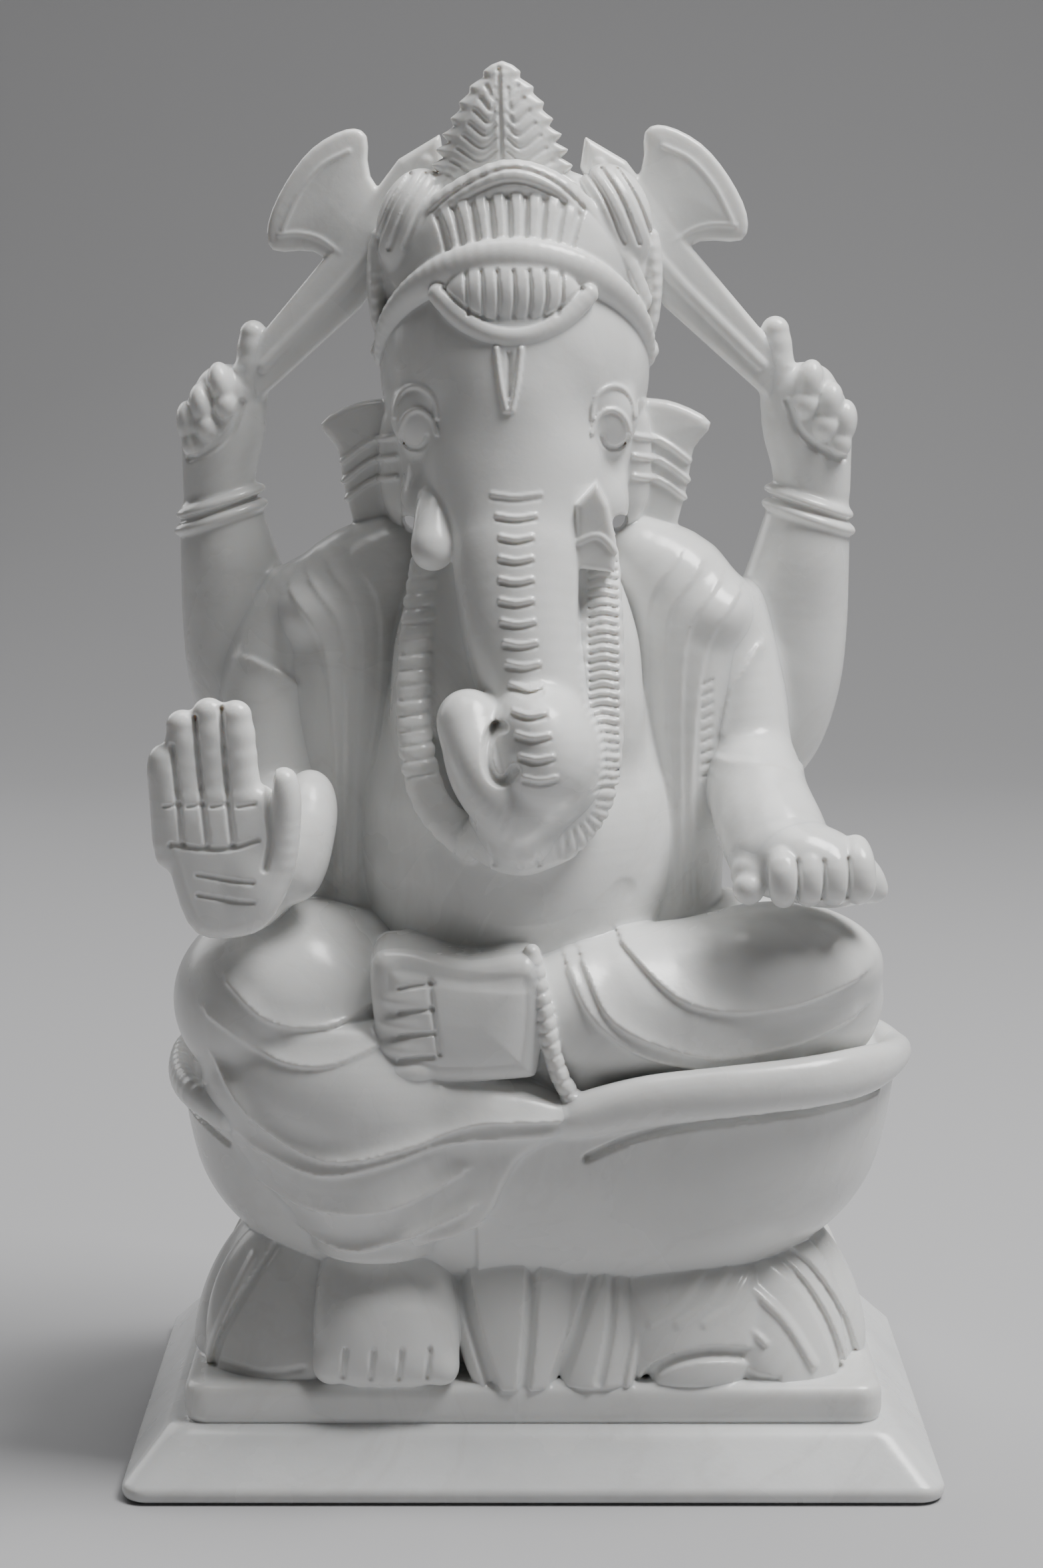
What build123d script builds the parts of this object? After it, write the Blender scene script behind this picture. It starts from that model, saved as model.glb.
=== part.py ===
"""Seated four-armed elephant-headed idol on a lotus seat, carved in polished white stone.

Millimetres, +Z up.  The figure faces -Y.  Right and left are the figure's own, so its
right side lies towards -X.  The origin is the middle of the plinth's underside.
"""
import os

from build123d import *

os.makedirs("parts", exist_ok=True)

# ---------------------------------------------------------------- driving dimensions
TOTAL_H = 305.0          # underside of plinth to tip of crown
PLINTH_W = 177.6         # plinth, side to side
PLINTH_D = 119.0         # plinth, front to back
PLINTH_H = 14.0
PLINTH_BAND = 3.0        # upright band under the slope
PLINTH_INSET = 10.0      # how far the slope runs in on each side
SLAB_W = 152.0
SLAB_D = 96.0
SLAB_H = 8.6
CORNER_R = 6.0
AXIS_X = -4.0            # the figure sits a little to its right of the plinth's middle

SLAB_TOP = PLINTH_H + SLAB_H
BOWL_BOTTOM = 44.0
BOWL_TOP = 82.0
HEAD_R = (29.6, 29.0, 33.0)
HEAD_Z = 240.0
ARM_MIRROR = 2.0 * AXIS_X    # x on one side is ARM_MIRROR - x on the other


# ---------------------------------------------------------------- shape helpers
def ellipsoid(at, radii, azimuth=0.0, lean=0.0, roll=0.0, mode=Mode.ADD):
    """Ball stretched to three radii, leant about X, rolled about Y, then turned about Z."""
    ball = scale(Sphere(1.0, mode=Mode.PRIVATE), by=radii, mode=Mode.PRIVATE)
    turn = Location((0, 0, 0), (0, 0, azimuth)) * Location((0, 0, 0), (lean, 0, 0))
    turn = turn * Location((0, 0, 0), (0, roll, 0))
    add(ball.moved(Location(at) * turn), mode=mode)


def limb(stations, across=(1, 0, 0), mode=Mode.ADD):
    """Loft through elliptical sections.  A station is (x, y, z, half width, half depth)."""
    points = [Vector(s[0], s[1], s[2]) for s in stations]
    faces = []
    for i, s in enumerate(stations):
        before = points[max(i - 1, 0)]
        after = points[min(i + 1, len(points) - 1)]
        along = (after - before).normalized()
        side = Vector(*across)
        side = (side - along * side.dot(along)).normalized()
        with BuildSketch(Plane(origin=points[i], x_dir=side, z_dir=along)) as section:
            Ellipse(s[3], s[4])
        faces.append(section.sketch.faces()[0])
    loft(sections=faces, mode=mode)


def stack(levels, mode=Mode.ADD):
    """Loft through level ellipses, one above another, given like a limb's stations."""
    faces = []
    for x, y, z, half_w, half_d in levels:
        with BuildSketch(Plane((x, y, z))) as section:
            Ellipse(half_w, half_d)
        faces.append(section.sketch.faces()[0])
    loft(sections=faces, mode=mode)


def bowl_stack(levels):
    """Loft through level rounded oblongs: (height, half width, half depth)."""
    faces = []
    for height, half_w, half_d in levels:
        with BuildSketch(Plane.XY.offset(height)) as section:
            RectangleRounded(2 * half_w, 2 * half_d, 0.82 * half_d)
        faces.append(section.sketch.faces()[0])
    loft(sections=faces)


def plate(outline, y_front, thick):
    """Plate standing in the XZ plane, from a closed outline of (x, z) points."""
    with BuildSketch(Plane.XZ.offset(-y_front)) as face:
        with BuildLine():
            Polyline(*outline, close=True)
        make_face()
    extrude(face.sketch, amount=-thick)


def cut_by(*others):
    """Take the neighbours' material away, so that each piece ends where the next begins."""
    for other in others:
        add(other.part, mode=Mode.SUBTRACT)


def other_side(stations):
    """The same stations on the other side of the figure."""
    return [(ARM_MIRROR - s[0],) + tuple(s[1:]) for s in stations]


# ---------------------------------------------------------------- plinth and step
with BuildPart() as plinth:
    with BuildSketch(Plane.XY):
        RectangleRounded(PLINTH_W, PLINTH_D, CORNER_R)
    extrude(amount=PLINTH_BAND)
    with BuildSketch(Plane.XY.offset(PLINTH_BAND)):
        RectangleRounded(PLINTH_W, PLINTH_D, CORNER_R)
    with BuildSketch(Plane.XY.offset(PLINTH_H)):
        RectangleRounded(PLINTH_W - 2 * PLINTH_INSET, PLINTH_D - 2 * PLINTH_INSET, CORNER_R)
    loft()
    chamfer(faces().sort_by(Axis.Z)[0].edges(), 1.0)
plinth.part.label = "plinth"
export_step(plinth.part, "parts/plinth.step")

with BuildPart() as step_slab:
    with BuildSketch(Plane.XY.offset(PLINTH_H)):
        RectangleRounded(SLAB_W, SLAB_D, CORNER_R)
    extrude(amount=SLAB_H)
    fillet(faces().sort_by(Axis.Z)[-1].edges(), 2.5)
    fillet(faces().sort_by(Axis.Z)[0].edges(), 1.5)
step_slab.part.label = "step_slab"
export_step(step_slab.part, "parts/step_slab.step")

# ---------------------------------------------------------------- lotus seat
with BuildPart() as seat_stem:
    with BuildSketch(Plane.XY.offset(SLAB_TOP)):
        RectangleRounded(104, 66, 28)
    with BuildSketch(Plane.XY.offset(BOWL_BOTTOM)):
        RectangleRounded(112, 70, 30)
    loft()
seat_stem.part.label = "seat_stem"
export_step(seat_stem.part, "parts/seat_stem.step")

# the leg that hangs over the front of the seat, under its cloth
with BuildPart() as right_shin:
    stack([(-47, -24, 100, 28, 26), (-40, -25, 89, 32, 26), (-34, -27, 78, 31, 25),
           (-35, -32, 66, 22, 20), (-35, -37, 54, 14, 13)])
    cut_by(seat_stem)
right_shin.part.label = "right_shin"
export_step(right_shin.part, "parts/right_shin.step")

# bowl of up-turned petals: height, half width, half depth
BOWL = ((BOWL_BOTTOM, 57, 37), (51, 67, 42), (61, 74, 45.5), (72, 77.5, 47.5), (BOWL_TOP, 79.5, 48.5))
LEFT_BOWL = ((BOWL_BOTTOM, 57, 37), (51, 67, 42), (61, 74, 45.5), (71, 77, 47.5), (77, 79, 49),
             (BOWL_TOP + 2, 82, 50))
PETAL_SPLIT_X = -12.0
PETAL_SPLIT_Y = 16.0

with BuildPart() as seat_petal_left:
    bowl_stack(LEFT_BOWL)
    split(bisect_by=Plane.YZ.offset(PETAL_SPLIT_X), keep=Keep.TOP)
    split(bisect_by=Plane.XZ.offset(-PETAL_SPLIT_Y), keep=Keep.TOP)
    cut_by(right_shin)
seat_petal_left.part.label = "seat_petal_left"
export_step(seat_petal_left.part, "parts/seat_petal_left.step")

with BuildPart() as seat_petal_right:
    bowl_stack(BOWL)
    split(bisect_by=Plane.YZ.offset(PETAL_SPLIT_X), keep=Keep.BOTTOM)
    split(bisect_by=Plane.XZ.offset(-PETAL_SPLIT_Y), keep=Keep.TOP)
    cut_by(right_shin)
seat_petal_right.part.label = "seat_petal_right"
export_step(seat_petal_right.part, "parts/seat_petal_right.step")

with BuildPart() as seat_petal_rear:
    bowl_stack(BOWL)
    split(bisect_by=Plane.XZ.offset(-PETAL_SPLIT_Y), keep=Keep.BOTTOM)
seat_petal_rear.part.label = "seat_petal_rear"
export_step(seat_petal_rear.part, "parts/seat_petal_rear.step")

bowl = (seat_petal_left, seat_petal_right, seat_petal_rear)

# down-turned petals round the foot of the seat: middle, radii, azimuth and lean
with BuildPart() as petal_front_centre:
    ellipsoid((-2, -37, 38), (13, 7, 22), lean=-22)
    cut_by(step_slab, seat_stem, *bowl)
petal_front_centre.part.label = "petal_front_centre"
export_step(petal_front_centre.part, "parts/petal_front_centre.step")

with BuildPart() as petal_front_keel:
    ellipsoid((15, -37, 36), (11, 7, 20), lean=-22)
    cut_by(step_slab, seat_stem, *bowl, petal_front_centre)
petal_front_keel.part.label = "petal_front_keel"
export_step(petal_front_keel.part, "parts/petal_front_keel.step")

with BuildPart() as petal_front_arch:
    ellipsoid((36, -37, 34), (16, 8, 17), lean=-24)
    cut_by(step_slab, seat_stem, *bowl, petal_front_keel)
petal_front_arch.part.label = "petal_front_arch"
export_step(petal_front_arch.part, "parts/petal_front_arch.step")

with BuildPart() as petal_corner_left:
    ellipsoid((57, -30, 33), (14, 9, 20), azimuth=34, lean=-30)
    cut_by(step_slab, seat_stem, *bowl, petal_front_arch)
petal_corner_left.part.label = "petal_corner_left"
export_step(petal_corner_left.part, "parts/petal_corner_left.step")

with BuildPart() as petal_corner_right:
    ellipsoid((-58, -31, 33.5), (15, 9, 20), azimuth=-26, lean=-28)
    cut_by(step_slab, seat_stem, *bowl)
petal_corner_right.part.label = "petal_corner_right"
export_step(petal_corner_right.part, "parts/petal_corner_right.step")

with BuildPart() as petal_side_left:
    ellipsoid((62, 4, 33), (26, 8, 21), azimuth=90, lean=-30)
    cut_by(step_slab, seat_stem, *bowl, petal_corner_left)
petal_side_left.part.label = "petal_side_left"
export_step(petal_side_left.part, "parts/petal_side_left.step")

with BuildPart() as petal_side_right:
    ellipsoid((-62, 4, 33), (26, 8, 21), azimuth=-90, lean=-30)
    cut_by(step_slab, seat_stem, *bowl, petal_corner_right)
petal_side_right.part.label = "petal_side_right"
export_step(petal_side_right.part, "parts/petal_side_right.step")

with BuildPart() as petal_rear_left:
    ellipsoid((30, 37, 33), (30, 8, 20), azimuth=180, lean=-24)
    cut_by(step_slab, seat_stem, *bowl, petal_side_left)
petal_rear_left.part.label = "petal_rear_left"
export_step(petal_rear_left.part, "parts/petal_rear_left.step")

with BuildPart() as petal_rear_right:
    ellipsoid((-30, 37, 33), (30, 8, 20), azimuth=180, lean=-24)
    cut_by(step_slab, seat_stem, *bowl, petal_side_right, petal_rear_left)
petal_rear_right.part.label = "petal_rear_right"
export_step(petal_rear_right.part, "parts/petal_rear_right.step")

# ---------------------------------------------------------------- torso
BELLY_X = AXIS_X + 0.5
BELLY_TOP = 160.0

with BuildPart() as belly:
    stack([(BELLY_X, 3, BOWL_TOP + 2, 40, 30), (BELLY_X, 1, 97, 38, 31), (BELLY_X, -3, 109, 33, 31),
           (BELLY_X, -5, 120, 34.5, 33), (BELLY_X, -6, 134, 36, 34), (BELLY_X, -4, 148, 34.5, 32),
           (BELLY_X, 0, BELLY_TOP, 31.5, 28)])
    cut_by(right_shin)
belly.part.label = "belly"
export_step(belly.part, "parts/belly.step")

with BuildPart() as chest:
    stack([(BELLY_X, 0, BELLY_TOP, 31.5, 28), (AXIS_X, 3, 178, 30, 24), (AXIS_X, 4, 196, 25, 20),
           (AXIS_X, 4, 206, 15, 14)])
chest.part.label = "chest"
export_step(chest.part, "parts/chest.step")

# ---------------------------------------------------------------- legs and cloth
with BuildPart() as right_foot:
    limb([(-34, -22, 40, 11, 13), (-33, -34, 40, 15, 16), (-32, -43, 35, 16, 13),
          (-31, -50, 30, 15, 7.5), (-31, -53, 28.5, 12, 4)])
    cut_by(step_slab, seat_stem, *bowl, right_shin, petal_corner_right, petal_front_centre)
right_foot.part.label = "right_foot"
export_step(right_foot.part, "parts/right_foot.step")

with BuildPart() as right_thigh:
    limb([(-14, 20, 99, 16, 13), (-24, 14, 99, 22, 16), (-36, 2, 101, 25, 19),
          (-47, -14, 102, 26.5, 21), (-53, -28, 102.5, 24, 19.5), (-57, -38, 102.5, 17, 14),
          (-60, -45, 102.5, 8, 7)])
    split(bisect_by=Plane.XY.offset(BOWL_TOP), keep=Keep.TOP)
    cut_by(belly, right_shin, *bowl)
right_thigh.part.label = "right_thigh"
export_step(right_thigh.part, "parts/right_thigh.step")

with BuildPart() as left_thigh:
    limb([(8, 22, 99, 16, 13), (18, 17, 99, 22, 16), (32, 9, 100, 25, 18),
          (44, 0, 101, 26, 18), (56, -9, 101, 21, 16.5), (65, -14, 101, 13, 12),
          (70, -17, 101, 6, 6)])
    split(bisect_by=Plane.XY.offset(BOWL_TOP), keep=Keep.TOP)
    cut_by(belly, right_thigh, *bowl)
left_thigh.part.label = "left_thigh"
export_step(left_thigh.part, "parts/left_thigh.step")

with BuildPart() as left_shin:
    limb([(2, -33, 103, 14, 13), (12, -31, 102, 17.5, 16), (29, -28, 101.5, 20, 18),
          (46, -25, 102, 20, 18), (60, -22, 102.5, 18, 16.5), (70, -20, 103, 12, 12.5),
          (76, -19, 103, 5, 6)], across=(0, 1, 0))
    split(bisect_by=Plane.XY.offset(BOWL_TOP), keep=Keep.TOP)
    cut_by(belly, left_thigh, right_thigh, right_shin, *bowl)
left_shin.part.label = "left_shin"
export_step(left_shin.part, "parts/left_shin.step")

with BuildPart() as left_foot:
    limb([(8, -37, 104, 12, 13), (-8, -40, 104, 12, 13.5), (-20, -41, 105, 11, 14),
          (-29, -42, 106, 9, 13), (-32, -42, 108, 7, 9)], across=(0, 1, 0))
    cut_by(belly, left_shin, right_shin, right_thigh)
left_foot.part.label = "left_foot"
export_step(left_foot.part, "parts/left_foot.step")

with BuildPart() as dhoti_pleat:
    limb([(-1, -47, 118, 4, 4), (1.5, -49.5, 108, 4, 4), (3, -50, 99, 4, 4),
          (6, -49, 91, 4.5, 4), (10, -47, 85, 4, 4)])
    cut_by(belly, left_shin, left_foot, right_shin, *bowl)
dhoti_pleat.part.label = "dhoti_pleat"
export_step(dhoti_pleat.part, "parts/dhoti_pleat.step")

# ---------------------------------------------------------------- shawl and garland
RIGHT_SHAWL = [(-34, 4, 199, 10, 12), (-43, 3, 187, 14, 15), (-42, 0, 166, 12, 17),
               (-40, -4, 146, 11, 18), (-39, -6, 126, 10, 15)]
LEFT_SHAWL = [(25, 4, 199, 10, 12), (35, 3, 187, 14, 15), (34, 0, 166, 12, 17),
              (33, -4, 146, 10, 18), (33, -6, 122, 9, 15)]

with BuildPart() as shawl_right:
    limb(RIGHT_SHAWL)
    cut_by(chest, belly, right_thigh)
shawl_right.part.label = "shawl_right"
export_step(shawl_right.part, "parts/shawl_right.step")

with BuildPart() as shawl_left:
    limb(LEFT_SHAWL)
    cut_by(chest, belly, left_thigh, left_shin)
shawl_left.part.label = "shawl_left"
export_step(shawl_left.part, "parts/shawl_left.step")

with BuildPart() as garland_right:
    limb([(-23, -17, 198, 4, 3.5), (-25, -25, 182, 4, 3.5), (-25.5, -33, 164, 4, 3.5),
          (-22, -39, 149, 4, 3.5), (-13, -42, 140, 4, 3.5)])
    cut_by(chest, belly, shawl_right)
garland_right.part.label = "garland_right"
export_step(garland_right.part, "parts/garland_right.step")

with BuildPart() as garland_left:
    limb([(14.5, -17, 200, 4, 3.5), (15.5, -25, 184, 4, 3.5), (15.5, -33, 166, 4, 3.5),
          (13, -39, 150, 4, 3.5), (6, -42, 140, 4, 3.5)])
    cut_by(chest, belly, shawl_left)
garland_left.part.label = "garland_left"
export_step(garland_left.part, "parts/garland_left.step")

PENDANT = [(-12, 145.5), (-10.5, 137), (-3.5, 132.5), (3.5, 137), (5, 145.5)]
with BuildPart() as garland_pendant:
    plate(PENDANT, y_front=-44.5, thick=9)
    chamfer(faces().sort_by(Axis.Y)[0].edges(), 1.2)
    cut_by(belly, garland_right, garland_left)
garland_pendant.part.label = "garland_pendant"
export_step(garland_pendant.part, "parts/garland_pendant.step")

# ---------------------------------------------------------------- front arms
with BuildPart() as right_upper_arm:
    limb([(-50, 5, 186, 11, 12), (-56, 4, 170, 13, 13), (-57, 0, 153, 13, 13),
          (-56, -6, 139, 12, 12)])
    cut_by(shawl_right, right_thigh)
right_upper_arm.part.label = "right_upper_arm"
export_step(right_upper_arm.part, "parts/right_upper_arm.step")

with BuildPart() as right_forearm:
    limb([(-56, -12, 140, 10, 10), (-59, -26, 134, 10, 10), (-63, -38, 129, 9, 8),
          (-64, -45, 127, 8, 6)])
    cut_by(right_upper_arm, shawl_right, right_thigh)
right_forearm.part.label = "right_forearm"
export_step(right_forearm.part, "parts/right_forearm.step")

RIGHT_PALM = [(-70, 123), (-58, 123.5), (-51.5, 137), (-48.5, 148), (-50.2, 159.5),
              (-54.6, 159.5), (-57, 168), (-61, 173.3), (-67, 173.3), (-72.7, 170.5),
              (-77, 166), (-79, 162), (-78, 148), (-75, 133)]
with BuildPart() as right_palm:
    plate(RIGHT_PALM, y_front=-56, thick=10)
    fillet(edges().filter_by(Axis.Y), 1.5)
    chamfer(faces().sort_by(Axis.Y)[0].edges(), 1.2)
    cut_by(right_forearm, right_thigh, right_shin)
right_palm.part.label = "right_palm"
export_step(right_palm.part, "parts/right_palm.step")

with BuildPart() as left_upper_arm:
    limb([(42, 5, 186, 11, 12), (47, 3, 172, 12, 13), (49, -2, 157, 11.5, 12),
          (50, -8, 146, 11, 11)])
    cut_by(shawl_left)
left_upper_arm.part.label = "left_upper_arm"
export_step(left_upper_arm.part, "parts/left_upper_arm.step")

with BuildPart() as left_forearm:
    limb([(50, -10, 150, 11, 10), (51, -20, 145, 11, 10), (53, -30, 140, 11, 9),
          (55, -36, 137, 10, 8)])
    cut_by(left_upper_arm, shawl_left, left_shin)
left_forearm.part.label = "left_forearm"
export_step(left_forearm.part, "parts/left_forearm.step")

with BuildPart() as left_palm:
    limb([(46, -37, 137, 9, 8), (54, -40, 136, 11, 9.5), (63, -40, 133, 11, 9),
          (69, -38, 130, 9, 7), (74, -36, 128, 5, 4)], across=(0, 1, 0))
    ellipsoid((46, -46, 131), (6, 5.5, 6.5))
    cut_by(left_forearm, left_shin, left_thigh)
left_palm.part.label = "left_palm"
export_step(left_palm.part, "parts/left_palm.step")

# ---------------------------------------------------------------- rear arms, hands and axes
LEFT_REAR = [(55, 14, 147, 5, 6), (57, 14, 157, 9.5, 10), (58, 13, 170, 12, 11.5),
             (59, 13, 184, 12.2, 11.5), (61, 12, 196, 10, 10), (62.5, 12, 204, 8.5, 8.5)]
with BuildPart() as left_rear_arm:
    limb(LEFT_REAR)
    limb([(36, 13, 180, 11, 11), (48, 14, 176, 11.5, 11), (56, 14, 172, 11, 11)],
         across=(0, 1, 0))
    cut_by(left_upper_arm, shawl_left, chest)
left_rear_arm.part.label = "left_rear_arm"
export_step(left_rear_arm.part, "parts/left_rear_arm.step")

with BuildPart() as right_rear_arm:
    limb(other_side(LEFT_REAR))
    limb(other_side([(36, 13, 180, 11, 11), (48, 14, 176, 11.5, 11), (56, 14, 172, 11, 11)]),
         across=(0, 1, 0))
    cut_by(right_upper_arm, shawl_right, chest)
right_rear_arm.part.label = "right_rear_arm"
export_step(right_rear_arm.part, "parts/right_rear_arm.step")

with BuildPart() as left_bracelet:
    limb([(61, 12, 200, 9.8, 9.5), (61.8, 12, 204, 10.4, 10), (62.6, 12, 208, 10.4, 10),
          (63.4, 12, 212, 9.6, 9.2)])
    cut_by(left_rear_arm)
left_bracelet.part.label = "left_bracelet"
export_step(left_bracelet.part, "parts/left_bracelet.step")

with BuildPart() as right_bracelet:
    limb(other_side([(61, 12, 200, 9.8, 9.5), (61.8, 12, 204, 10.4, 10),
                     (62.6, 12, 208, 10.4, 10), (63.4, 12, 212, 9.6, 9.2)]))
    cut_by(right_rear_arm)
right_bracelet.part.label = "right_bracelet"
export_step(right_bracelet.part, "parts/right_bracelet.step")

with BuildPart() as left_rear_hand:
    limb([(63.5, 12, 211, 8, 7), (62.5, 11, 219, 9, 7), (61, 10, 228, 10, 6.5),
          (60, 9, 236, 8, 5.5)])
    limb([(55, 10, 230, 3.8, 3.8), (54, 9, 240, 3.9, 3.9), (53, 8, 249, 3.2, 3.2),
          (52.8, 8, 251, 2, 2)])
    ellipsoid((61.5, 5.5, 236), (3.4, 5, 6), roll=14)
    ellipsoid((66.5, 6.5, 231), (3.4, 5, 6), roll=10)
    ellipsoid((69.6, 8, 226.5), (3.0, 4.6, 5.4), roll=6)
    cut_by(left_bracelet)
left_rear_hand.part.label = "left_rear_hand"
export_step(left_rear_hand.part, "parts/left_rear_hand.step")

with BuildPart() as right_rear_hand:
    limb([(-71, 12, 211, 8, 7), (-69.5, 11, 219, 9, 7), (-68, 10, 228, 10, 6.5),
          (-67, 9, 236, 8, 5.5)])
    limb([(-62.5, 10, 230, 3.8, 3.8), (-63.5, 9, 240, 3.9, 3.9), (-64.2, 8, 248, 3.2, 3.2),
          (-64.4, 8, 250.2, 2, 2)])
    ellipsoid((-69.5, 5.5, 235), (3.4, 5, 6), roll=-14)
    ellipsoid((-74, 6.5, 230), (3.4, 5, 6), roll=-10)
    ellipsoid((-76.8, 8, 226), (2.9, 4.6, 5.4), roll=-6)
    cut_by(right_bracelet)
right_rear_hand.part.label = "right_rear_hand"
export_step(right_rear_hand.part, "parts/right_rear_hand.step")

LEFT_HAFT = [(50.5, 247), (45.2, 237.5), (28, 253.5), (19, 266), (10, 284), (11.5, 290.5),
             (20.5, 284), (34.5, 266.5)]
LEFT_BLADE = [(17, 287), (21.5, 291.2), (29, 292), (37.8, 286.4), (45.2, 277.6), (47.6, 271.7),
              (46.8, 267.3), (34, 266.6)]
RIGHT_HAFT = [(-59.5, 248), (-56, 237), (-36.2, 255), (-27, 266), (-19, 284), (-20.5, 291),
              (-31.8, 281), (-47, 266)]
RIGHT_BLADE = [(-29, 283), (-33, 290), (-38.3, 291.2), (-47, 288.4), (-55.9, 277.6),
               (-58.8, 270.2), (-57.4, 265.3), (-46, 264.2)]
AXE_Y = 4.5

with BuildPart() as left_axe_haft:
    plate(LEFT_HAFT, y_front=AXE_Y, thick=8)
    chamfer(faces().sort_by(Axis.Y)[0].edges(), 1.5)
    cut_by(left_rear_hand)
left_axe_haft.part.label = "left_axe_haft"
export_step(left_axe_haft.part, "parts/left_axe_haft.step")

with BuildPart() as left_axe_blade:
    plate(LEFT_BLADE, y_front=AXE_Y + 1, thick=6)
    chamfer(faces().sort_by(Axis.Y)[0].edges(), 1.2)
    cut_by(left_axe_haft)
left_axe_blade.part.label = "left_axe_blade"
export_step(left_axe_blade.part, "parts/left_axe_blade.step")

with BuildPart() as right_axe_haft:
    plate(RIGHT_HAFT, y_front=AXE_Y, thick=8)
    chamfer(faces().sort_by(Axis.Y)[0].edges(), 1.5)
    cut_by(right_rear_hand)
right_axe_haft.part.label = "right_axe_haft"
export_step(right_axe_haft.part, "parts/right_axe_haft.step")

with BuildPart() as right_axe_blade:
    plate(RIGHT_BLADE, y_front=AXE_Y + 1, thick=6)
    chamfer(faces().sort_by(Axis.Y)[0].edges(), 1.2)
    cut_by(right_axe_haft)
right_axe_blade.part.label = "right_axe_blade"
export_step(right_axe_blade.part, "parts/right_axe_blade.step")

# ---------------------------------------------------------------- head
with BuildPart() as head:
    ellipsoid((AXIS_X, 0, HEAD_Z), HEAD_R)
    ellipsoid((AXIS_X, -3, 217), (24, 22, 17))
    cut_by(chest)
head.part.label = "head"
export_step(head.part, "parts/head.step")

with BuildPart() as trunk:
    limb([(AXIS_X, -17, 220, 16, 10), (AXIS_X, -24, 209, 14.5, 11), (-3.6, -29, 198, 13, 10.5),
          (-2.2, -33, 185, 11.6, 10), (-0.2, -37, 172, 10, 9.3), (1.6, -40, 160, 9.3, 8.8)])
    ellipsoid((-2, -42, 158.5), (12.6, 8.5, 12))
    limb([(-10, -43, 156, 5.5, 6), (-12.6, -44, 164, 5, 5.5), (-13.4, -45, 172.8, 4, 4.5)])
    cut_by(head, belly, chest, garland_pendant, garland_right, garland_left)
trunk.part.label = "trunk"
export_step(trunk.part, "parts/trunk.step")

with BuildPart() as right_tusk:
    limb([(-20, -14, 214, 3.6, 3.6), (-21, -22, 209, 4, 4), (-21.3, -28, 202, 4, 4),
          (-21.3, -30, 199, 3, 3)])
    cut_by(head, trunk)
right_tusk.part.label = "right_tusk"
export_step(right_tusk.part, "parts/right_tusk.step")

with BuildPart() as left_tusk:
    limb([(12, -14, 214, 4, 4.2), (13, -22, 209, 4.4, 4.4), (13.2, -28, 202, 4.4, 4.4),
          (13.2, -30, 199.5, 4.2, 4.2)])
    cut_by(head, trunk)
left_tusk.part.label = "left_tusk"
export_step(left_tusk.part, "parts/left_tusk.step")

RIGHT_EAR = [(-22, 233), (-34, 232.6), (-40, 231.4), (-46.9, 227.4), (-43.2, 221.8),
             (-41.8, 215), (-40.6, 208), (-37, 197), (-29.6, 201), (-28.6, 208), (-22, 212)]
LEFT_EAR = [(14, 233), (25, 232.8), (31, 232.4), (39.4, 227.4), (34.8, 220.6),
            (34, 214.8), (32.4, 208), (29, 197), (21.6, 201), (20.6, 208), (14, 212)]

with BuildPart() as right_ear:
    plate(RIGHT_EAR, y_front=1, thick=7)
    chamfer(faces().sort_by(Axis.Y)[0].edges(), 1.0)
    cut_by(head, chest, shawl_right)
right_ear.part.label = "right_ear"
export_step(right_ear.part, "parts/right_ear.step")

with BuildPart() as left_ear:
    plate(LEFT_EAR, y_front=1, thick=7)
    chamfer(faces().sort_by(Axis.Y)[0].edges(), 1.0)
    cut_by(head, chest, shawl_left)
left_ear.part.label = "left_ear"
export_step(left_ear.part, "parts/left_ear.step")

# ---------------------------------------------------------------- crown
with BuildPart() as crown_cap:
    ellipsoid((AXIS_X, 3, 262), (30.5, 27, 22))
    split(bisect_by=Plane.XY.offset(250), keep=Keep.TOP)
    cut_by(head, left_axe_haft, right_axe_haft, left_axe_blade, right_axe_blade)
crown_cap.part.label = "crown_cap"
export_step(crown_cap.part, "parts/crown_cap.step")

with BuildPart() as crown_band:
    limb([(-32, -4, 249, 3.2, 3.6), (-28, -13, 255.5, 3.2, 3.6), (-18, -20, 261.5, 3.2, 3.6),
          (AXIS_X, -23, 264, 3.2, 3.6), (10, -20, 261.5, 3.2, 3.6), (20, -13, 255.5, 3.2, 3.6),
          (24, -4, 249, 3.2, 3.6)], across=(0, 1, 0))
    cut_by(head, crown_cap)
crown_band.part.label = "crown_band"
export_step(crown_band.part, "parts/crown_band.step")

with BuildPart() as crown_fan:
    ellipsoid((AXIS_X - 0.5, -13, 266), (21, 9, 14))
    cut_by(head, crown_cap, crown_band)
crown_fan.part.label = "crown_fan"
export_step(crown_fan.part, "parts/crown_fan.step")

with BuildPart() as crown_arch:
    limb([(-27, -9, 270, 3.2, 3.4), (-17, -14, 278.5, 3.2, 3.4), (AXIS_X - 1.5, -16, 282, 3.2, 3.4),
          (6, -14, 278.5, 3.2, 3.4), (18, -9, 269, 3.2, 3.4)], across=(0, 1, 0))
    cut_by(crown_cap, crown_fan, crown_band, head)
crown_arch.part.label = "crown_arch"
export_step(crown_arch.part, "parts/crown_arch.step")

SPIRE = [(-20, 280), (-20.8, 284), (-18.8, 290), (-17.3, 296), (-12, 301.4), (-7.0, TOTAL_H),
         (-2, 301.4), (2.8, 296), (5.8, 290), (7.4, 284), (6.5, 280)]
with BuildPart() as crown_spire:
    plate(SPIRE, y_front=-12, thick=15)
    chamfer(faces().sort_by(Axis.Y)[0].edges(), 2.0)
    cut_by(head, crown_cap, crown_arch, crown_fan, left_axe_haft, right_axe_haft)
crown_spire.part.label = "crown_spire"
export_step(crown_spire.part, "parts/crown_spire.step")

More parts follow.
